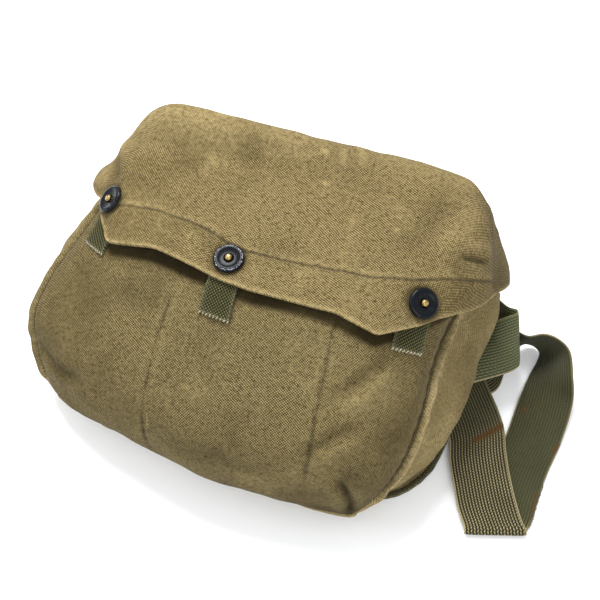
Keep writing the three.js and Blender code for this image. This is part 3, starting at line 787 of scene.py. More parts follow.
# Bar tacks below the tabs and one short mend: from and to, each (across, row)
TACKS = [((-0.50, 5.78), (-0.495, 5.70)), ((-0.04, 5.27), (-0.035, 5.18)), ((0.045, 5.25), (0.048, 5.16)),
         ((0.655, 5.78), (0.66, 5.68)), ((0.80, 5.86), (0.805, 5.77)), ((-0.109, 2.91), (-0.107, 2.6))]
tack_lines = [raised(bag_face, *spaced(tack, TACK_STEPS), TACK_LIFT) for tack in TACKS]
stitches("tack_stitches", tack_lines, straw_thread, "canvas", spacing=1.9, length=1.4, thickness=0.6,
         slant=0.3, stray=0.5)

# Gusset
# One long strip of the same duck down each side and along the bottom, bulged out by what is packed inside.
# Its upper edge is sewn into the front seam and its foot to the back.
MOUTH_LEAN = 0.7
MOUTH_LEAN_FROM = 5
SIDE_STEPS, BOTTOM_STEPS, GUSSET_STEPS = 150, 120, 44
BAG_MIDDLE = np.array([0, 20, 50])
GUSSET_TONE, GUSSET_RIBS = (0.157, 0.117, 0.047), 0.45
GUSSET_SWELLS = [(46, 11, 1.4), (19, 12, 0.45)]
SLACK_POWER = 0.7
# The roll of cloth below the seam, in mm, and the swell that makes it uneven
LEDGE = {"height": 1.0, "gap": 6, "width": 3.0, "stray": 2, "stray_length": 30}
GUSSET_RUB = {"ledge": 0.4, "ledge_gap": 7, "ledge_width": 3, "patches": 0.16, "patch_length": 22}
# Darkening on the gusset: a painted shadow under the welt along the seam, and darker towards the foot
GUSSET_SHADE_AND_DARKENING = {"foot": 0.7, "foot_from": 0.62, "foot_to": 0.92, "seam": 0.4, "seam_width": 3}


# Places (across, row) down the right seam, along the bottom and up the left seam
def seam_walk(from_row, side_steps, bottom_steps):
    right = [(1.0, row) for row in np.linspace(from_row, 0, side_steps)]
    bottom = [(across, 0.0) for across in np.linspace(1, -1, bottom_steps)[1:-1]]
    left = [(-1.0, row) for row in np.linspace(0, from_row, side_steps)]
    return np.array(right + bottom + left)


# Point of the gusset below a place on the seam, where down goes from 0 at the seam to 1 at the foot
def gusset_place(across, row, down):
    side_walk = np.abs(across) >= 1
    turned_row = row + MOUTH_LEAN * down * ramp(row, MOUTH_LEAN_FROM, MOUTH_ROW)
    side_point = bag_face(np.sign(across) * (1 + down), turned_row)
    seam = bag_face(across, row)
    scale = section("base_right", np.zeros(1))[0] / section("right", np.zeros(1))[0]
    base = np.stack([seam[..., 0] * scale, np.full(seam.shape[:-1], SECTIONS[0, COLUMNS.index("base_y")]),
                     np.full(seam.shape[:-1], CANVAS + FOOT_GAP)], -1)
    bottom_point = seam + (base - seam) * down[..., None]
    return np.where(side_walk[..., None], side_point, bottom_point)


walk = seam_walk(MOUTH_ROW, SIDE_STEPS, BOTTOM_STEPS)
walk_across, walk_row = walk[:, :1], walk[:, 1:]
top_line = gusset_place(walk_across, walk_row, np.zeros_like(walk_across))
foot_line = gusset_place(walk_across, walk_row, np.ones_like(walk_across))
begin = SEAM_SETBACK / np.linalg.norm(top_line - foot_line, axis=-1)
drop = begin + (1 - begin) * np.linspace(0, 1, GUSSET_STEPS)[None, :]
walk_across = np.broadcast_to(walk_across, drop.shape)
walk_row = np.broadcast_to(walk_row, drop.shape)
gusset_base = gusset_place(walk_across, walk_row, drop)
side_way = np.gradient(gusset_base, axis=0)
down_way = np.gradient(gusset_base, axis=1)
gusset_out = unit(np.cross(down_way, side_way))
gusset_out *= np.sign((gusset_out * (gusset_base - BAG_MIDDLE)).sum(-1, keepdims=True))
slack = np.sin(np.pi * np.clip((drop - begin) / (1 - begin), 0, 1)) ** SLACK_POWER
ledge_gap = np.linalg.norm(gusset_base - gusset_base[:, :1], axis=-1)
ledge_line = LEDGE["gap"] + LEDGE["stray"] * swell(gusset_base, LEDGE["stray_length"], 13)
ledge = LEDGE["height"] * bell(ledge_gap - ledge_line, LEDGE["width"])
gusset_relief = slack * (swells(gusset_base, GUSSET_SWELLS) + ledge)
dark_and_shade, rub = GUSSET_SHADE_AND_DARKENING, GUSSET_RUB
gusset_worn = np.clip(rub["ledge"] * bell(ledge_gap - rub["ledge_gap"], rub["ledge_width"])
                      + rub["patches"] * swell(gusset_base, rub["patch_length"], 14), 0, 1)
# Painted shadow under the welt along the seam, and darker towards the foot
gusset_shade_and_darkening = np.clip(dark_and_shade["foot"] * ramp(drop, dark_and_shade["foot_from"], dark_and_shade["foot_to"])
                       + dark_and_shade["seam"] * bell(ledge_gap, dark_and_shade["seam_width"]), 0, 1)
gusset_duck = khaki_duck("gusset_duck", GUSSET_TONE, GUSSET_RIBS)
gusset = cloth("canvas_gusset", gusset_base + gusset_out * gusset_relief[..., None],
               gusset_base + gusset_out * (gusset_relief - CANVAS)[..., None], gusset_duck,
               worn=gusset_worn, grime=gusset_shade_and_darkening)
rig.ride(gusset, "root")
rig.replaces(gusset, "gusset")
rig.slot(gusset, "canvas")
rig.sheet(gusset, held="stretched", rests_on=["front_panel", "back_panel"], **flat_cut(gusset_base))

# Back panel
# The plain back the bag lies on, the same duck, reaching past the gusset as a flat rim.
# It is lifted along the right edge and slightly across its width where the strap runs beneath it.
RIM = 8.0
BACK_TOP_ROW = 9.0
BACK_TOP_Y = 121
BACK_WIDTH = 260
BACK_ACROSS, BACK_UP = 110, 90
BACK_RUB = {"edge": 0.5, "edge_width": 6, "patches": 0.2, "patch_length": 30}
BACK_DIRT = 0.3


# Plan of the gusset's foot on one side, moved outwards by a width in mm
def back_outline(side, row, out, step=0.02):
    column = "base_left" if side < 0 else "base_right"

    def foot(r):
        return np.stack([side * section(column, r), section("base_y", r)], -1)

    way = unit(foot(row + step) - foot(row - step))
    return foot(row) + np.stack([side * way[..., 1], -side * way[..., 0]], -1) * out


back_rows = np.linspace(0, BACK_TOP_ROW, BACK_UP)
left_edge, right_edge = back_outline(-1, back_rows, RIM), back_outline(1, back_rows, RIM)
top_left, top_right = left_edge[-1:].copy(), right_edge[-1:].copy()
top_left[:, 1] = top_right[:, 1] = BACK_TOP_Y
left_edge, right_edge = np.concatenate([left_edge, top_left]), np.concatenate([right_edge, top_right])
width_share = np.linspace(0, 1, BACK_ACROSS)[:, None, None]
back_plan = left_edge[None] * (1 - width_share) + right_edge[None] * width_share
back_lift = lift(back_plan[..., 0], back_plan[..., 1])
back_low = np.concatenate([back_plan, back_lift[..., None]], -1)
back_edge = np.minimum(width_share[..., 0], 1 - width_share[..., 0]) * BACK_WIDTH
back_worn = np.clip(BACK_RUB["edge"] * bell(back_edge, BACK_RUB["edge_width"])
                    + BACK_RUB["patches"] * swell(back_low, BACK_RUB["patch_length"], 21), 0, 1)
back_panel = cloth("canvas_back", back_low + np.array([0, 0, CANVAS]), back_low, gusset_duck,
                   worn=back_worn, grime=np.full(back_lift.shape, BACK_DIRT))
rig.ride(back_panel, "root")
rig.replaces(back_panel, "back_panel")
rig.slot(back_panel, "canvas")
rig.sheet(back_panel, held="laid", rests_on=["floor", "shoulder_strap"], **flat_cut(back_low))

# Front welt
# The raw edges of the front seam, folded and sewn down into a flat ridge that stands out all round the front.
# It is rubbed pale along its outer edge.
WELT_WIDTH, WELT_THICK, WELT_INSET = 6.4, 2.6, 0.85
WELT_CLOSE = {"from_row": 7.0, "to_row": 7.4, "width": 2.6, "end_row": 7.9}
WELT_DROOP = {"angle": 1.2, "from_row": 0.9, "to_row": 2.3}
WELT_TUCK = {"width": 3.2, "to_row": 1.5}
WELT_STEPS = {"side": 260, "bottom": 200}
WELT_TONE, WELT_RIBS = (0.135, 0.100, 0.040), 0.5
WELT_UNEVEN = {"width": 0.4, "width_length": 14, "height": 0.4, "height_length": 24}
# Wear on the welt: its least, where it is full, and how it grows outwards and comes and goes along the edge
WELT_RUB = {"least": 0.15, "full_x": 60, "middle": 0.45, "outward": 0.9, "along": 0.25, "along_pace": 9}
# Painted shade on the welt's inner side, where it meets the front
WELT_SHADE = {"middle": -0.1, "inward": 1.2, "most": 0.6}
WELT_THREAD = {"inward": 0.22, "up": 0.47, "from_row": 0.3}
ROUND_STEPS = 16
ROUND_FLAT, ROUND_TALL = 0.55, 0.7


# Rounded strip carried along stops that each give a centre, an outward direction, an upward one and a width.
# Its marks depend on the share of the width outwards and on the length along it.
def rounded_strip(name, centre, out, up, width, thick, finish, **marks):
    angle = np.linspace(0, 2 * np.pi, ROUND_STEPS, endpoint=False)
    flat = np.sign(np.cos(angle)) * np.abs(np.cos(angle)) ** ROUND_FLAT / 2
    tall = np.sign(np.sin(angle)) * np.abs(np.sin(angle)) ** ROUND_TALL / 2
    rings = (centre[:, None] + out[:, None] * (flat[None, :] * width[:, None])[..., None]
             + up[:, None] * (tall * thick)[None, :, None])
    count = len(centre)
    index = np.arange(count * ROUND_STEPS).reshape(count, ROUND_STEPS)
    after = np.roll(index, -1, axis=1)
    faces = np.stack([index[:-1], after[:-1], after[1:], index[1:]], -1).reshape(-1, 4).tolist()
    faces += [index[0, ::-1].tolist(), index[-1].tolist()]
    mesh = bpy.data.meshes.new(name)
    mesh.from_pydata((rings.reshape(-1, 3) * MM).tolist(), [], faces)
    length = np.linalg.norm(np.diff(centre, axis=0, prepend=centre[:1]), axis=-1).cumsum()
    girth = np.arange(ROUND_STEPS) / ROUND_STEPS * 2 * (width.mean() + thick)
    measure = np.stack(np.meshgrid(length, girth, indexing="ij"), -1).reshape(-1, 2)
    dress(mesh, measure, {mark: np.broadcast_to(values(flat[None, :], length[:, None]), index.shape)
                          for mark, values in marks.items()})
    return piece(name, mesh, finish)


def welt_worn(flat, length):
    r = WELT_RUB
    rub = r["least"] + (1 - r["least"]) * smooth(welt_line[:, :1] / r["full_x"])
    return np.clip(rub * (r["middle"] + r["outward"] * flat + r["along"] * np.sin(length / r["along_pace"])), 0, 1)


# Painted shade on the inner side of the welt
def welt_shade(flat, length):
    return np.clip(WELT_SHADE["middle"] - WELT_SHADE["inward"] * flat, 0, WELT_SHADE["most"])


welt_walk = seam_walk(WELT_CLOSE["end_row"], WELT_STEPS["side"], WELT_STEPS["bottom"])
welt_line = bag_face(welt_walk[:, 0], welt_walk[:, 1])
welt_row = welt_walk[:, 1]
welt_way = unit(np.gradient(welt_line, axis=0))
droop = WELT_DROOP["angle"] * (1 - ramp(welt_row, WELT_DROOP["from_row"], WELT_DROOP["to_row"]))
flat_out = unit(np.cross(np.array([0, 0, 1.0]), welt_way))
side_turn = np.cross(welt_way, flat_out)
welt_out = flat_out * np.cos(droop)[:, None] - side_turn * np.sin(droop)[:, None]
welt_up = np.cross(welt_way, welt_out)
close = ramp(welt_row, WELT_CLOSE["from_row"], WELT_CLOSE["to_row"])
welt_open = WELT_TUCK["width"] + (WELT_WIDTH - WELT_TUCK["width"]) * smooth(welt_row / WELT_TUCK["to_row"])
welt_width = (welt_open + (WELT_CLOSE["width"] - welt_open) * close
              + WELT_UNEVEN["width"] * swell(welt_line, WELT_UNEVEN["width_length"], 31))
welt_rise = WELT_UNEVEN["height"] * swell(welt_line, WELT_UNEVEN["height_length"], 32)
welt_centre = welt_line + welt_out * (welt_width / 2 - WELT_INSET)[:, None] + welt_up * welt_rise[:, None]
welt_duck = khaki_duck("welt_duck", WELT_TONE, WELT_RIBS)
front_welt = rounded_strip("canvas_welt", welt_centre, welt_out, welt_up, welt_width, WELT_THICK, welt_duck,
                           worn=welt_worn, grime=welt_shade)
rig.ride(front_welt, "root")
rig.replaces(front_welt, "front_welt")
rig.slot(front_welt, "canvas")
welt_stitch_line = (welt_centre - welt_out * (welt_width * WELT_THREAD["inward"])[:, None]
                    + welt_up * (WELT_THICK * WELT_THREAD["up"]))
welt_sewn = welt_row > WELT_THREAD["from_row"]
welt_sides = welt_walk[:, 0] > 0, welt_walk[:, 0] < 0
welt_lines = [welt_stitch_line[welt_sewn & side] for side in welt_sides]
stitches("welt_stitches", welt_lines, dark_thread, "canvas", spacing=2.5, length=2.2, thickness=0.6)

# Back binding
# Coarse green tape folded over the rim of the back and sewn through, frayed and dark.
# It runs from one top corner round the bottom to the other.
BINDING_WIDTH, BINDING_THICK = 3.4, 3.2
BINDING_UNEVEN, BINDING_UNEVEN_LENGTH = 0.35, 9
BINDING_RUB = 0.5
BINDING_STEPS, BINDING_FILL = 130, 60
# Where the sewing thread lies and where the tape frays: outwards from its middle and up, in mm
BINDING_THREAD, BINDING_FRAY = (-0.7, BINDING_THICK / 2 - 0.05), (1.6, 0.8)
TAPE_DARK = (0.018, 0.018, 0.009, 1)
TAPE_GREEN = (0.150, 0.135, 0.060, 1)
TAPE_PALE = (0.22, 0.21, 0.12, 1)


# Basket weave of thick green yarns
def green_basket(name, dark, green, pale, pitch=1.55 * MM):
    finish = Finish(name, 0.9, sheen=0.02, specular=0.06)
    uv, u, v = finish.weave()
    wobble = finish.noise(240.0, 2.0, vector=uv) * 1.4
    one = (u * (2 * math.pi / pitch) + wobble).sine()
    two = (v * (2 * math.pi / (pitch * 1.15)) + wobble).sine()
    bead = (one * two).clear(-0.25, 0.7)
    fuzz = finish.noise(700.0, 2.0, vector=uv)
    worn = finish.mark("worn")
    body = finish.mix((bead * 0.85 + fuzz * 0.25).clear(0.1, 1.0), dark, green)
    tops = ((bead * fuzz).clear(0.35, 0.75) * 0.2 + worn * fuzz.clear(0.3, 0.6)).clear(0.0, 1.0)
    finish.set("Base Color", finish.mix(tops, body, pale))
    finish.bump(bead + fuzz * 0.4, 0.0007, 0.9)
    return finish.material


binding_green = green_basket("binding_green", TAPE_DARK, TAPE_GREEN, TAPE_PALE)
half_rows = np.linspace(BACK_TOP_ROW, 0, BINDING_STEPS)
right_line, left_line = back_outline(1, half_rows, RIM), back_outline(-1, half_rows[::-1], RIM)
right_out = unit(back_outline(1, half_rows, RIM + 1) - right_line)
left_out = unit(back_outline(-1, half_rows[::-1], RIM + 1) - left_line)
fill = np.linspace(0, 1, BINDING_FILL)[1:-1, None]
rim_line = np.concatenate([right_line, right_line[-1] * (1 - fill) + left_line[0] * fill, left_line])
rim_out = np.concatenate([right_out, np.tile([[0.0, -1.0]], (len(fill), 1)), left_out])
rim_centre = rim_line + rim_out * (GAP + BINDING_WIDTH / 2)
rim_height = lift(rim_line[:, 0], rim_line[:, 1]) + BINDING_THICK / 2
binding_centre = np.concatenate([rim_centre, rim_height[:, None]], -1)
binding_out = np.concatenate([rim_out, np.zeros((len(rim_out), 1))], -1)
binding_up = np.tile([[0.0, 0.0, 1.0]], (len(rim_out), 1))
binding_width = BINDING_WIDTH + BINDING_UNEVEN * swell(binding_centre, BINDING_UNEVEN_LENGTH, 41)
back_binding = rounded_strip("green_binding", binding_centre, binding_out, binding_up, binding_width,
                             BINDING_THICK, binding_green,
                             worn=lambda flat, length: np.clip(flat * BINDING_RUB, 0, 1))
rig.ride(back_binding, "root")
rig.replaces(back_binding, "back_binding")
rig.slot(back_binding, "green_tape")
thread_line, fray_line = (binding_centre + binding_out * out + binding_up * rise
                          for out, rise in (BINDING_THREAD, BINDING_FRAY))
stitches("binding_stitches", [thread_line], dark_thread, "green_tape", spacing=2.8, length=2.1, thickness=0.6)
stitches("binding_fray", [fray_line], pale_thread, "green_tape", spacing=2.1, length=2.8, thickness=0.32,
         slant=1.2, stray=0.8)

# Snap tabs
# Three short ends of green webbing sewn to the front under the flap, each carrying a stud.
# Their cut lower ends are bound with pale thread that has begun to fray.
TAB_WIDTH, TAB_ABOVE, WEBBING = 20, 0.35, 1.6
TAB_ACROSS, TAB_UP, TAB_PROBE = 30, 60, 0.02
TAB_PITCH = 2.1 * MM
TAB_DARK, TAB_GREEN, TAB_PALE = (0.011, 0.011, 0.005, 1), (0.108, 0.103, 0.040, 1), (0.30, 0.28, 0.17, 1)
# How the cut end stands off, how the tab is rubbed, and how high its end is bound, in mm
TAB_CURL = {"height": 0.6, "length": 5, "ease": 0.5}
TAB_RUB = {"end": 0.25, "end_length": 1.6, "side": 0.3, "side_power": 8}
TAB_BOUND = 1.1
# Where each snap sits on the flap and each tab ends on the front, in across and rows, and how its end slants
FASTENERS = {
    "left": {"across": -0.63, "row": 6.96, "tab_across": -0.575, "tab_row": 5.96, "slant": -0.10},
    "center": {"across": -0.01, "row": 6.38, "tab_across": 0.008, "tab_row": 5.39, "slant": -0.01},
    "right": {"across": 0.72, "row": 6.83, "tab_across": 0.725, "tab_row": 5.96, "slant": 0.05},
}
tab_green = green_basket("tab_green", TAB_DARK, TAB_GREEN, TAB_PALE, TAB_PITCH)
tab_share = np.linspace(-1, 1, TAB_ACROSS)[:, None]
tab_climb = np.linspace(0, 1, TAB_UP)[None, :]
tab_ends = []
for name, place in FASTENERS.items():
    span = np.linalg.norm(bag_face(place["tab_across"] + TAB_PROBE, place["tab_row"])
                          - bag_face(place["tab_across"] - TAB_PROBE, place["tab_row"]))
    half_across = TAB_WIDTH / 2 / (span / (2 * TAB_PROBE))
    tab_start = place["tab_row"] + place["slant"] * tab_share
    tab_row = tab_start + (place["row"] + TAB_ABOVE - tab_start) * tab_climb
    tab_share_up = (tab_row - place["tab_row"]) / (place["row"] - place["tab_row"])
    middle = place["tab_across"] + (place["across"] - place["tab_across"]) * tab_share_up
    tab_across = middle + tab_share * half_across
    end_gap = np.linalg.norm(bag_face(tab_across, tab_row) - bag_face(tab_across, tab_row[:, :1]), axis=-1)
    tab_lift = TAB_CURL["height"] * bell(end_gap, TAB_CURL["length"])
    tab_worn = np.clip(TAB_RUB["end"] * bell(end_gap, TAB_RUB["end_length"])
                       + TAB_RUB["side"] * np.abs(tab_share) ** TAB_RUB["side_power"], 0, 1)
    tab_outer = raised(bag_face, tab_across, tab_row, GAP + WEBBING + tab_lift + TAB_CURL["ease"])
    tab = cloth("webbing_tab_" + name, tab_outer, raised(bag_face, tab_across, tab_row, GAP + tab_lift),
                tab_green, worn=tab_worn)
    tab_ends.append(raised(bag_face, tab_across[1:-1, 0], tab_row[1:-1, 0], GAP + WEBBING / 2 + TAB_BOUND))
    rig.ride(tab, "root")
    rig.replaces(tab, "tab_" + name)
    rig.slot(tab, "green_tape")
    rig.sheet(tab, held="laid", rests_on=["front_panel"], **flat_cut(tab_outer))
stitches("tab_whipping", tab_ends, pale_thread, "green_tape", spacing=2.3, length=2.7, thickness=1.25,
         slant=1.15, stray=0.25)
stitches("tab_fray", tab_ends, pale_thread, "green_tape", spacing=1.9, length=3.4, thickness=0.22,
         slant=1.4, stray=0.6)

# Flap
# A wide flap sewn to the back's top edge and folded over the mouth, with a doubled hem along its free edge.
# Three snaps hold it down, and between them its edge bows away from the front.
FLAP_CANVAS, FLAP_STANDOFF, FLAP_END_ROW = 2.0, 3.8, 10.95
TUCK = {"from_row": 8.6, "to_row": 10.6, "share": 0.34}
# Steps across, and the weight of each, over which the bag's edges are eased
EASE = [(-0.12, 1), (-0.06, 2), (0.0, 3), (0.06, 2), (0.12, 1)]
HEM_FOLD, HEM_THICK, HEM_SLOPE = 2.0, 0.9, 1.4
EDGE_BOW, EDGE_BOW_WIDTH = 1.8, 24
EDGE_WAVE = {"height": 0.5, "pace": 11, "width": 9}
# The groove that the hem's thread pulls, and its puckers, in mm
HEM_PULL = {"depth": 0.7, "width": 1.2, "pucker": 0.3, "pucker_width": 7, "pucker_pitch": 9.0, "stray": 2,
            "stray_length": 40, "thread_sink": 0.1}
# How a snap presses the cloth flat round it: distances from its middle and depth in mm
SNAP_PRESS = {"flat": 7, "free": 19, "dip": 0.5, "dip_gap": 11, "dip_width": 5}
FLAP_TONE = (0.112, 0.0800, 0.0294)
FLAP_SWELLS = [(100, 51, 1.5), (42, 52, 0.7), (17, 53, 0.2)]
# Darkening on the flap, its strength in each kind of place and how far it reaches: painted shade in fold valleys and
# beyond the right end's crease, a darker ring round each snap, and a dark line along the hem's thread
FLAP_SHADE_AND_DARKENING = {"valley": 0.5, "valley_depth": 3.5, "snap": 0.75, "snap_gap": 9.5, "snap_width": 2.2, "thread": 0.75,
             "thread_width": 0.9, "end": 0.4, "end_across": 0.05, "end_from": 7.9, "end_to": 8.2}
# Wear on the flap, in the same way
FLAP_RUB = {"crest": 0.5, "crest_height": 2.0, "edge": 1.0, "edge_width": 1.9, "hem": 0.3, "hem_gap": 2.5,
            "hem_width": 2, "top": 0.3, "top_row": 8.9, "top_rows": 0.35, "left": 0.6, "left_row": 8.5,
            "left_rows": 0.5, "left_from": -0.1, "left_to": -0.5}
FLAP_ACROSS, FLAP_UP, FLAP_CROWDING, HEM_STEPS, HEM_THREAD_STEP = 250, 150, 1.15, 100, 10


# The bag's face with its edges eased, as cloth that spans them lies
def eased_face(across, row):
    total = sum(weight for _, weight in EASE)
    return sum(bag_face(across + step, row) * (weight / total) for step, weight in EASE)


# The flap narrows towards the back, where it is sewn on
def tucked(across, row):
    return across * (1 - TUCK["share"] * ramp(row, TUCK["from_row"], TUCK["to_row"]))


# The left wing is folded down along a ridge beside its snap: ridge line in (row, across)
RIDGE = np.array([[6.0, -0.465], [6.26, -0.491], [6.71, -0.542], [7.11, -0.569], [7.38, -0.598], [8.0, -0.65]])
RIDGE_HEIGHT, RIDGE_LEFT, RIDGE_RIGHT, RIDGE_SPREAD = 6.0, 18.0, 24.0, 95.0
RIDGE_FADE = {"low_from": 6.2, "low_to": 6.9, "high_from": 7.2, "high_to": 8.1}


# Height in mm by which the folded wing stands up
def wing_lean(across, row):
    away = (across - np.interp(row, *RIDGE.T)) * RIDGE_SPREAD
    left = np.clip(1 + away / RIDGE_LEFT, 0, 1)
    right = bell(np.maximum(away, 0), RIDGE_RIGHT)
    rise = ramp(row, RIDGE_FADE["low_from"], RIDGE_FADE["low_to"])
    fade = 1 - ramp(row, RIDGE_FADE["high_from"], RIDGE_FADE["high_to"])
    return RIDGE_HEIGHT * np.where(away < 0, left, right) * rise * fade


def leaned_face(across, row):
    return raised(eased_face, across, row, wing_lean(across, row))


flap_column = np.linspace(FLAP_EDGE[0, 0], FLAP_EDGE[-1, 0], FLAP_ACROSS)
flap_climb = np.linspace(0, 1, FLAP_UP)[None, :] ** FLAP_CROWDING
flap_row = edge_row(flap_column)[:, None] * (1 - flap_climb) + FLAP_END_ROW * flap_climb
flap_across = tucked(flap_column[:, None], flap_row)
flap_out = outward(eased_face, flap_across, flap_row)
flap_base = eased_face(flap_across, flap_row)
edge_gap, edge_along, _ = from_line(flap_base, flap_base[:, 0])
between = np.zeros(flap_across.shape)
stops = [place["across"] for place in FASTENERS.values()]
for a, b in zip(stops[:-1], stops[1:]):
    inside = (flap_across > a) & (flap_across < b)
    between = np.where(inside, np.sin(np.pi * (flap_across - a) / (b - a)) ** 2, between)
# Stitched line of the hem, from the left fold to the right tip: (across, row)
HEM_SEAM = np.array([
    [-0.582, 6.75], [-0.475, 6.81], [-0.327, 6.81], [-0.154, 6.74], [-0.031, 6.63], [0.041, 6.59], [0.128, 6.64],
    [0.219, 6.67], [0.332, 6.735], [0.477, 6.86], [0.641, 7.08], [0.823, 7.48], [1.025, 8.07],
])
seam_across = np.linspace(HEM_SEAM[0, 0], HEM_SEAM[-1, 0], HEM_STEPS)
hem_gap, _, _ = from_line(flap_base, eased_face(seam_across, np.interp(seam_across, *HEM_SEAM.T)))
near_stitch = np.where(flap_row < np.interp(flap_across, *HEM_SEAM.T), -hem_gap, hem_gap)
hem = smooth((HEM_FOLD - near_stitch) / HEM_SLOPE)
# Folds on the flap: line in (across, row), width and depth in mm
FLAP_FOLDS = [
    ([(0.76, 7.70), (0.80, 7.78), (0.84, 7.87), (0.93, 8.12)], 1.5, -3.0),
    ([(0.75, 7.85), (0.83, 8.05), (0.92, 8.3)], 4, 1.6),
    ([(0.72, 7.6), (0.80, 7.68), (0.90, 7.9)], 4, 1.0),
    ([(0.54, 7.2), (0.60, 8.0), (0.66, 8.7)], 9, -2.0),
    ([(0.66, 7.5), (0.74, 8.2), (0.80, 8.7)], 8, 1.6),
    ([(0.70, 8.86), (0.79, 8.70), (0.87, 8.56), (0.95, 8.3)], 2.4, -1.5),
    ([(-0.90, 8.1), (-0.80, 7.72), (-0.70, 7.42), (-0.62, 7.25)], 3.5, -3.2),
    ([(-1.06, 7.98), (-0.96, 7.62), (-0.88, 7.36), (-0.82, 7.15)], 9, 6.5),
    ([(-0.99, 8.4), (-0.83, 8.1), (-0.70, 7.74)], 6, 1.8),
    ([(-0.50, 7.75), (-0.40, 7.8), (-0.28, 7.9)], 12, -1.5),
    ([(-0.19, 6.78), (-0.12, 6.61), (-0.04, 6.46)], 5, -1.6),
    ([(0.05, 6.5), (0.14, 6.75), (0.24, 7.0)], 8, -1.0),
    ([(0.58, 6.2), (0.61, 6.45), (0.64, 6.7)], 2.0, -0.8),
    ([(-0.49, 6.17), (-0.54, 6.45), (-0.58, 6.73)], 2.0, -0.8),
    ([(0.10, 8.9), (0.25, 8.6), (0.40, 8.7)], 12, -1.2),
]
# The top of the right end is empty and falls away: line, width and depth as for a fold
FALLEN_END = ([(0.69, 9.04), (0.80, 9.04), (0.90, 9.04), (1.0, 9.04), (1.15, 9.02)], 13, -5.0)
flap_folds = sum(fold(eased_face, flap_base, *row) for row in FLAP_FOLDS)
stray = HEM_PULL["stray"] * swell(flap_base, HEM_PULL["stray_length"], 54)
pucker = HEM_PULL["pucker"] * np.sin(edge_along * 2 * np.pi / HEM_PULL["pucker_pitch"] + stray)
flap_relief = (swells(flap_base, FLAP_SWELLS) + flap_folds + fold(eased_face, flap_base, *FALLEN_END)
               + hem * HEM_THICK - HEM_PULL["depth"] * bell(near_stitch, HEM_PULL["width"])
               + pucker * bell(near_stitch, HEM_PULL["pucker_width"])
               + EDGE_WAVE["height"] * np.sin(edge_along / EDGE_WAVE["pace"]) * bell(edge_gap, EDGE_WAVE["width"]))
dark_and_shade, rub = FLAP_SHADE_AND_DARKENING, FLAP_RUB
# A darker ring round each snap, on the flap just outside its socket
snap_ring_darkening = np.zeros(flap_across.shape)
for place in FASTENERS.values():
    reach = np.linalg.norm(flap_base - eased_face(place["across"], place["row"]), axis=-1)
    dip = SNAP_PRESS["dip"] * bell(reach - SNAP_PRESS["dip_gap"], SNAP_PRESS["dip_width"])
    flap_relief = flap_relief * ramp(reach, SNAP_PRESS["flat"], SNAP_PRESS["free"]) - dip
    snap_ring_darkening += dark_and_shade["snap"] * bell(np.maximum(reach - dark_and_shade["snap_gap"], 0), dark_and_shade["snap_width"])
flap_relief = flap_relief + EDGE_BOW * between * bell(edge_gap, EDGE_BOW_WIDTH) + wing_lean(flap_across, flap_row)
# The right end is creased along a line in (row, across), and painted in shade beyond it
SHADED_END = np.array([[8.0, 1.02], [8.3, 0.95], [8.56, 0.88], [8.70, 0.81], [8.86, 0.73], [9.2, 0.70]])
beyond = smooth((flap_across - np.interp(flap_row, *SHADED_END.T)) / dark_and_shade["end_across"])
# Painted shade in fold valleys and beyond the right end's crease, with the rings round the snaps and the hem thread's
# dark line
flap_shade_and_darkening = (np.clip(-flap_folds / dark_and_shade["valley_depth"], 0, 1) * dark_and_shade["valley"] + snap_ring_darkening
              + dark_and_shade["thread"] * bell(near_stitch, dark_and_shade["thread_width"])
              + dark_and_shade["end"] * beyond * ramp(flap_row, dark_and_shade["end_from"], dark_and_shade["end_to"]))
# Pale scuffs on the top, each a line in (across, row), a width and a strength
FLAP_SCUFFS = [
    ([(0.235, 9.0), (0.27, 8.9), (0.29, 8.66), (0.26, 8.57)], 1.7, 1.1),
    ([(0.195, 8.82), (0.218, 8.67), (0.216, 8.45)], 1.8, 1.0),
    ([(0.169, 8.165), (0.185, 8.03)], 1.6, 1.6),
    ([(-0.42, 8.83), (-0.37, 8.97), (-0.30, 8.98)], 1.8, 1.0),
    ([(-0.32, 8.26), (-0.30, 7.90), (-0.276, 7.57)], 4.0, 0.35),
    ([(0.122, 8.71), (0.164, 8.62)], 1.7, 1.0),
    ([(0.481, 7.73), (0.498, 7.667)], 1.5, 1.0),
]
flap_scuffs = sum(fold(eased_face, flap_base, *scuff) for scuff in FLAP_SCUFFS)
rubbed_left = rub["left"] * bell(flap_row - rub["left_row"], rub["left_rows"])
flap_worn = (np.clip(flap_folds / rub["crest_height"], 0, 1) * rub["crest"]
             + rub["edge"] * bell(edge_gap, rub["edge_width"]) + flap_scuffs
             + rub["hem"] * bell(near_stitch - rub["hem_gap"], rub["hem_width"])
             + rub["top"] * bell(flap_row - rub["top_row"], rub["top_rows"])
             + rubbed_left * ramp(flap_across, rub["left_from"], rub["left_to"]))
flap_duck = khaki_duck("flap_duck", FLAP_TONE)
flap_top = flap_base + flap_out * (FLAP_STANDOFF + FLAP_CANVAS + flap_relief)[..., None]
flap_under = flap_base + flap_out * (FLAP_STANDOFF + flap_relief - HEM_THICK * hem)[..., None]
flap = cloth("canvas_flap", flap_top, flap_under, flap_duck,
             worn=np.clip(flap_worn, 0, 1), grime=np.clip(flap_shade_and_darkening, 0, 1))
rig.ride(flap, "root")
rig.replaces(flap, "flap")
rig.slot(flap, "canvas")
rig.sheet(flap, held="draped", rests_on=["front_panel", "gusset", "back_panel"], **flat_cut(flap_top))
stitched = (flap_column > HEM_SEAM[0, 0]) & (flap_column < HEM_SEAM[-1, 0])
hem_line = np.array([top[np.argmin(gap)] for top, gap in zip(flap_top[stitched], hem_gap[stitched])])
hem_line = hem_line - flap_out[stitched, HEM_THREAD_STEP] * HEM_PULL["thread_sink"]
stitches("hem_stitches", [hem_line], dark_thread, "canvas", spacing=2.5, length=2.2, thickness=0.75)

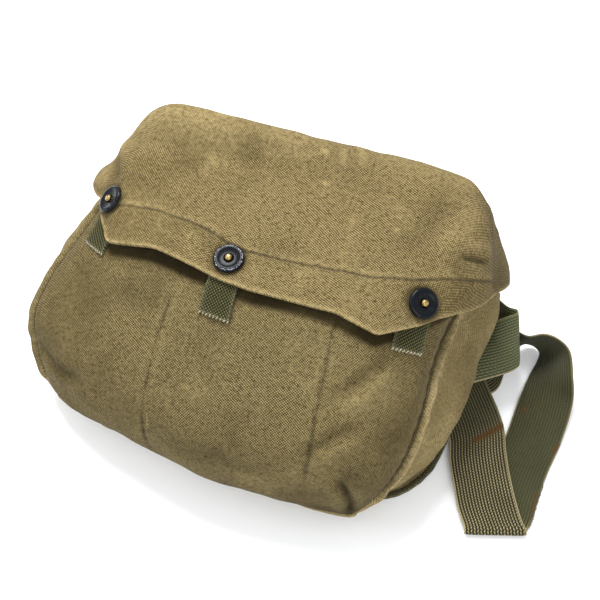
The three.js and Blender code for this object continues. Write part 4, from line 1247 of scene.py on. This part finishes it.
# Snap sockets and studs
# Black enamelled snap sockets pressed through the flap, each gripping the ball of a small brass stud.
# The enamel is chipped to grey metal at the rim, most of all on the middle one.
SOCKET_LIFT = FLAP_STANDOFF + FLAP_CANVAS + GAP
STUD_FOOT = GAP + WEBBING + GAP
STUD_SHOW = 4.2
TURN_STEPS = 56
TURN_START = np.array([0.0, 1.0, 0.3])
WELD = 1e-7
ENAMEL_BLACK, ENAMEL_DUST = (0.004, 0.005, 0.007, 1), (0.03, 0.03, 0.033, 1)
BARE_METAL = (0.42, 0.44, 0.47, 1)
CHIPPED_BAND = 1.3
BRASS_BRIGHT, BRASS_DULL = (0.52, 0.38, 0.16, 1), (0.20, 0.13, 0.05, 1)
# Profiles in (distance from the axis, height) in mm
SOCKET_PROFILE = [(2.7, 0.0), (9.2, 0.0), (9.7, 0.3), (9.85, 0.9), (9.6, 1.6), (9.1, 2.1), (8.5, 2.45), (7.8, 2.6),
                  (7.1, 2.5), (6.4, 2.25), (5.5, 2.0), (4.6, 1.85), (3.6, 1.8), (3.0, 1.75), (2.7, 1.4)]
STUD_PROFILE = [(0.0, 0.0), (2.4, 0.0), (2.4, 4.2), (1.9, 4.8), (1.6, 5.3), (1.75, 5.7), (2.1, 6.1), (2.3, 6.7),
                (2.25, 7.2), (2.0, 7.8), (1.5, 8.2), (0.8, 8.45), (0.0, 8.5)]
# Where the enamel of each socket is chipped most, in mm from its axis, and how much
SOCKET_WEAR = {"left": (8.6, 0.18), "center": (8.6, 0.36), "right": (9.0, 0.15)}
# The fold of the left wing carries its snap a little with it, as (across, row)
SNAP_SHIFT = {"left": (0.06, -0.07), "center": (0.0, 0.0), "right": (0.0, 0.0)}


# Turned piece on an axis that starts at a foot, with its distance from the axis kept as a mark
def turned(name, profile, foot, axis, finish, closed):
    spin = np.linspace(0, 2 * np.pi, TURN_STEPS, endpoint=False)
    ring = unit(np.cross(axis, TURN_START))
    other = np.cross(axis, ring)
    radius, height = np.array(profile).T
    spoke = np.cos(spin)[None, :, None] * ring + np.sin(spin)[None, :, None] * other
    points = foot + radius[:, None, None] * spoke + height[:, None, None] * axis
    index = np.arange(points.shape[0] * TURN_STEPS).reshape(-1, TURN_STEPS)
    after = np.roll(index, -1, axis=1)
    rows = [(k, k + 1) for k in range(len(profile) - 1)]
    if closed:
        rows.append((len(profile) - 1, 0))
    faces = [quad for a, b in rows
             for quad in np.stack([index[a], after[a], after[b], index[b]], -1).tolist()]
    mesh = bpy.data.meshes.new(name)
    mesh.from_pydata((points.reshape(-1, 3) * MM).tolist(), [], faces)
    layer = mesh.attributes.new("radius", "FLOAT", "POINT")
    layer.data.foreach_set("value", np.repeat(radius, TURN_STEPS).astype(np.float32))
    build = bmesh.new()
    build.from_mesh(mesh)
    bmesh.ops.remove_doubles(build, verts=build.verts, dist=WELD)
    bmesh.ops.recalc_face_normals(build, faces=build.faces)
    build.to_mesh(mesh)
    build.free()
    return piece(name, mesh, finish)


# Black enamel with chips of grey metal; ring is where the wear is strongest and wear how much there is
def black_enamel(name, ring, wear):
    finish = Finish(name, 0.28, specular=0.12)
    radius = finish.mark("radius")
    band = 1 - ((radius - ring).math("ABSOLUTE") / CHIPPED_BAND).math("MINIMUM", 1.0)
    chips = finish.noise(900.0, 4.0, 0.65)
    bare = (chips + band * wear).clear(0.78, 0.92)
    dust = finish.noise(260.0, 3.0).clear(0.5, 0.8) * 0.35
    enamel = finish.mix(dust, ENAMEL_BLACK, ENAMEL_DUST)
    finish.set("Base Color", finish.mix(bare, enamel, BARE_METAL))
    finish.set("Metallic", bare * 0.9)
    finish.set("Roughness", bare * 0.12 + chips * 0.15 + 0.18)
    finish.bump(chips * (1 - bare), 0.0001, 0.35)
    return finish.material


brass = Finish("stud_brass", 0.32)
tarnish = brass.noise(800.0, 3.0)
brass.set("Base Color", brass.mix(tarnish.clear(0.35, 0.7), BRASS_BRIGHT, BRASS_DULL))
brass.set("Roughness", tarnish * 0.4 + 0.15)
brass.shader.inputs["Metallic"].default_value = 1.0
for name, place in FASTENERS.items():
    across, row = np.array([place["across"], place["row"]]) + SNAP_SHIFT[name]
    tab_point = raised(bag_face, across, row, STUD_FOOT)
    axis = outward(leaned_face, across, row)
    seat = leaned_face(across, row) + axis * SOCKET_LIFT
    enamel = black_enamel("enamel_" + name, *SOCKET_WEAR[name])
    socket = turned("snap_socket_" + name, SOCKET_PROFILE, seat, axis, enamel, True)
    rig.ride(socket, "root")
    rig.replaces(socket, "socket_" + name)
    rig.slot(socket, "black_metal")
    depth = (seat - tab_point) @ axis
    shank = max(depth, 0.0) + STUD_SHOW - STUD_PROFILE[-1][1]
    profile = [(radius, height + (shank if height > 0 else 0)) for radius, height in STUD_PROFILE]
    stud = turned("snap_stud_" + name, profile, seat - axis * depth, axis, brass.material, False)
    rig.ride(stud, "root")
    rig.replaces(stud, "stud_" + name)
    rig.slot(stud, "brass")

# Shoulder strap
# Ribbed cotton webbing 38 mm wide, sewn under the back at both sides.
# It lies loose on the table in one long turn.
# The stretch in front is bleached tan and rust stained, the rest is still green.
RIBBON_STEPS, RIBBON_ACROSS = 22, 17
STRAP_WIDTH = 38.0
SELVAGE_THIN, SELVAGE_POWER = 0.45, 10
STRAP_DARK, STRAP_GREEN = (0.014, 0.014, 0.006, 1), (0.092, 0.090, 0.042, 1)
STRAP_TAN = (0.40, 0.325, 0.175, 1)
RUST_BROWN = (0.085, 0.040, 0.011, 1)
# Stations along the strap, from under the bag's right side: right edge (x, y, z) and left edge (x, y, z) in mm
STRAP = np.array([
    [131, 76, 5.6, 104, 49, 4.6], [152, 51, 5.6, 122, 28, 5.6], [173, 23, 5.4, 142, 1, 5.4],
    [180, 6, 5.4, 148, -15, 5.2], [188, -11, 5.4, 156, -31, 5.2], [198, -29, 5.4, 164, -46, 5.2],
    [206, -41, 5.4, 171, -56, 5.4], [209, -44, 5.3, 172, -58, 5.3], [210, -46, 3.3, 173, -60, 3.3],
    [209.5, -44, 1.3, 173, -58, 1.3], [210.5, -36, 1.1, 173, -42, 1.1], [210, -23, 1, 172, -28, 1],
    [210, 1, 1, 173, -6, 1], [212, 28, 2, 176, 16, 1.1], [211, 56, 8, 176, 45, 1.5],
    [206, 64, 25, 177, 67, 1.7], [198, 78, 34, 179, 83, 1.7], [188, 82, 37, 178, 91, 1.8],
    [179, 82, 37, 172, 94, 2.2], [170, 80, 32, 165.5, 91, 4], [153, 94, 11, 161, 72, 3],
    [132, 76, 2.2, 158.5, 48, 1.3], [110, 70, 1, 122, 34, 1], [84, 67.5, 1, 86, 29.5, 1],
    [40, 67, 1, 40, 29, 1], [-104, 67, 1, -104, 29, 1],
], float)
# The bleached stretch in front grows from its start and ends at a station, and a second one lies in the turn;
# the other distances are mm along the strap
BLEACH = {"stations": 10.3, "fade": 12, "least": 0.35, "grows_from": 45, "grows_to": 90,
          "turn": 0.6, "turn_from": 318, "turn_full": 338, "turn_fades": 400, "turn_to": 430}
FRAY_FROM, FRAY_TO, FRAY_LIFT = 148, 182, np.array([0.0, 0.0, 1.0])


# Centripetal curve through points, the same number of steps between each two
def through(points, steps):
    before = 2 * points[0] - points[1]
    after = 2 * points[-1] - points[-2]
    chain = np.concatenate([[before], points, [after]])
    made = []
    for k in range(1, len(chain) - 2):
        p0, p1, p2, p3 = chain[k - 1:k + 3]
        d0, d1, d2 = (max(np.linalg.norm(b - a) ** 0.5, 1e-4) for a, b in ((p0, p1), (p1, p2), (p2, p3)))
        m1 = ((p1 - p0) / d0 - (p2 - p0) / (d0 + d1) + (p2 - p1) / d1) * d1
        m2 = ((p2 - p1) / d1 - (p3 - p1) / (d1 + d2) + (p3 - p2) / d2) * d1
        t = (np.arange(steps) / steps)[:, None]
        made.append((2 * t**3 - 3 * t**2 + 1) * p1 + (t**3 - 2 * t**2 + t) * m1
                    + (3 * t**2 - 2 * t**3) * p2 + (t**3 - t**2) * m2)
    return np.concatenate(made + [points[-1:]])


# Flat webbing between two edge curves, thinner at its selvages
def webbing(name, right, left, finish, marks):
    across = np.linspace(0, 1, RIBBON_ACROSS)
    surface = right[:, None] * (1 - across)[None, :, None] + left[:, None] * across[None, :, None]
    middle = (right + left) / 2
    up = unit(np.cross(np.gradient(middle, axis=0), right - left))
    half_thick = WEBBING / 2 * (1 - SELVAGE_THIN * np.abs(2 * across - 1) ** SELVAGE_POWER)
    rise = up[:, None] * half_thick[None, :, None]
    length = np.linalg.norm(np.diff(middle, axis=0, prepend=middle[:1]), axis=-1).cumsum()
    measure = np.stack(np.meshgrid(length, (across[::-1] - 0.5) * STRAP_WIDTH, indexing="ij"), -1)
    made = cloth(name, (surface + rise)[:, ::-1], (surface - rise)[:, ::-1], finish, measure,
                 **marks(across[None, ::-1], length[:, None]))
    return made, length


# Ribbed webbing: long ribs of twisted yarn with small slanted stitches across each one
def ribbed_webbing(name, dark, green, tan, pitch=2.0 * MM):
    finish = Finish(name, 0.9, sheen=0.05, specular=0.12)
    uv, along, across = finish.weave()
    rib = (across * (2 * math.pi / pitch)).sine() * 0.5 + 0.5
    flip = (across * (math.pi / pitch)).sine()
    slant = (along * (2 * math.pi / pitch) + flip * 3.0).sine() * 0.5 + 0.5
    fuzz = finish.noise(650.0, 2.0, vector=uv)
    broad = finish.noise(40.0, 3.0, vector=uv)
    bleach = finish.mark("bleach")
    rust = finish.mark("rust")
    edge = (across / (STRAP_WIDTH / 2 * MM)).math("ABSOLUTE").clear(0.93, 0.985)
    yarn = rib * (slant * 0.75 + 0.25)
    gloom = (1 - yarn) * (bleach * 0.6 + 0.45)
    body = finish.mix((fuzz * 0.3 + broad * 0.3 + 0.46 + bleach * 0.25 - gloom).clear(0.0, 1.0), dark, green)
    sun = (bleach * (0.3 + broad * 0.9) * yarn.clear(0.25, 0.8) + edge * (0.4 + 0.3 * bleach)).clear(0.0, 1.0)
    sunned = finish.mix(sun, body, tan)
    stain = (rust * (fuzz * 0.5 + 0.7)).clear(0.12, 0.9)
    finish.set("Base Color", finish.mix(stain, sunned, RUST_BROWN))
    finish.bump(rib * 0.9 + slant * rib * 0.35 + fuzz * 0.25, 0.0007, 0.8)
    return finish.material


# Rust stains on the strap: from and to as (distance along in mm, place across in mm), half width in mm, strength
STAINS = [
    ((71, -2), (64, 19), 2.6, 1.0), ((66, -18), (76, -5), 1.0, 0.5), ((239, -13), (240, -12), 2.0, 0.9),
    ((243, -5), (244, -4), 1.6, 0.7), ((208, 17), (212, 18), 2.2, 0.8), ((160, 19), (176, 18), 2.2, 0.7),
]


def strap_marks(across, length):
    b = BLEACH
    front = smooth((length[int(b["stations"] * RIBBON_STEPS)] - length) / b["fade"])
    growth = b["least"] + (1 - b["least"]) * ramp(length, b["grows_from"], b["grows_to"])
    turn = b["turn"] * ramp(length, b["turn_from"], b["turn_full"]) * ramp(length, b["turn_to"], b["turn_fades"])
    bleach = np.broadcast_to(front * growth + turn, (len(length), RIBBON_ACROSS))
    rust = np.zeros(bleach.shape)
    spot = np.stack(np.broadcast_arrays(length, (1 - 2 * across) * STRAP_WIDTH / 2), -1)
    for start, end, half_width, strength in STAINS:
        gap, _, _ = from_line(spot, np.array([start, end], float))
        rust += strength * bell(gap, half_width)
    return {"bleach": bleach, "rust": np.clip(rust, 0, 1)}


strap_finish = ribbed_webbing("strap_webbing", STRAP_DARK, STRAP_GREEN, STRAP_TAN)
strap_right, strap_left = through(STRAP[:, :3], RIBBON_STEPS), through(STRAP[:, 3:], RIBBON_STEPS)
strap, strap_run = webbing("webbing_strap", strap_right, strap_left, strap_finish, strap_marks)
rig.ride(strap, "root")
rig.replaces(strap, "shoulder_strap")
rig.slot(strap, "strap_webbing")
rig.sheet(strap, flat=(STRAP_WIDTH * MM, strap_run[-1] * MM), held="laid", rests_on=["floor", "back_panel"])
frayed = (strap_run > FRAY_FROM) & (strap_run < FRAY_TO)
stitches("strap_fray", [strap_right[frayed] + FRAY_LIFT], dark_thread, "strap_webbing", spacing=0.7, length=2.6,
         thickness=0.3, slant=1.3, stray=0.9)

# Side loop
# A short piece of the same webbing bent double and sewn by both ends to the right gusset.
# It has kept its green, and its green and slight bleach are painted lighter than the strap's, as painted light on its
# shaded place.
LOOP_GAP = 2.6
# Painted light: the loop's green and bleach are lighter than the strap's
LOOP_LIT_GREEN, LOOP_LIT_BLEACH = (0.175, 0.196, 0.098, 1), 0.2
# Stations from the back end to the front one: right edge (x, y, z) and left edge (x, y, z) in mm
LOOP = np.array([
    [150, 95, 36, 161.5, 66, 20], [156.5, 92.5, 39.5, 168.5, 63.5, 23], [157.5, 88, 42, 169.5, 58.5, 25],
    [153.5, 84, 42, 166.5, 52.5, 26], [146, 79.5, 38, 158.5, 45.5, 25.5],
], float)
# Where the ends are sewn on the gusset, as (row, down) for each edge
LOOP_ENDS = {"right": {"back": (8.7, 0.76), "front": (7.8, 0.68)},
             "left": {"back": (7.6, 0.8), "front": (6.2, 0.70)}}


def on_gusset(row, down):
    return raised(bag_face, np.array(1 + down), np.array(row), LOOP_GAP)


def loop_edge(stations, side):
    back, front = on_gusset(*LOOP_ENDS[side]["back"]), on_gusset(*LOOP_ENDS[side]["front"])
    return through(np.concatenate([[back], stations, [front]]), RIBBON_STEPS)


def loop_marks(across, length):
    blank = np.zeros((len(length), RIBBON_ACROSS))
    return {"bleach": blank + LOOP_LIT_BLEACH, "rust": blank}


lit_loop_finish = ribbed_webbing("loop_webbing", STRAP_DARK, LOOP_LIT_GREEN, STRAP_TAN)
loop_right, loop_left = loop_edge(LOOP[:, :3], "right"), loop_edge(LOOP[:, 3:], "left")
side_loop, loop_run = webbing("webbing_loop", loop_right, loop_left, lit_loop_finish, loop_marks)
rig.ride(side_loop, "root")
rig.replaces(side_loop, "side_loop")
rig.slot(side_loop, "strap_webbing")
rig.sheet(side_loop, flat=(STRAP_WIDTH * MM, loop_run[-1] * MM), held="folded", rests_on=["gusset"])

visual_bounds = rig.bounds()
with open("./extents.json", "w") as size_file:
    json.dump({"cad": [list(map(float, corner)) for corner in cad_bounds],
               "visual": [list(map(float, corner)) for corner in visual_bounds]}, size_file)
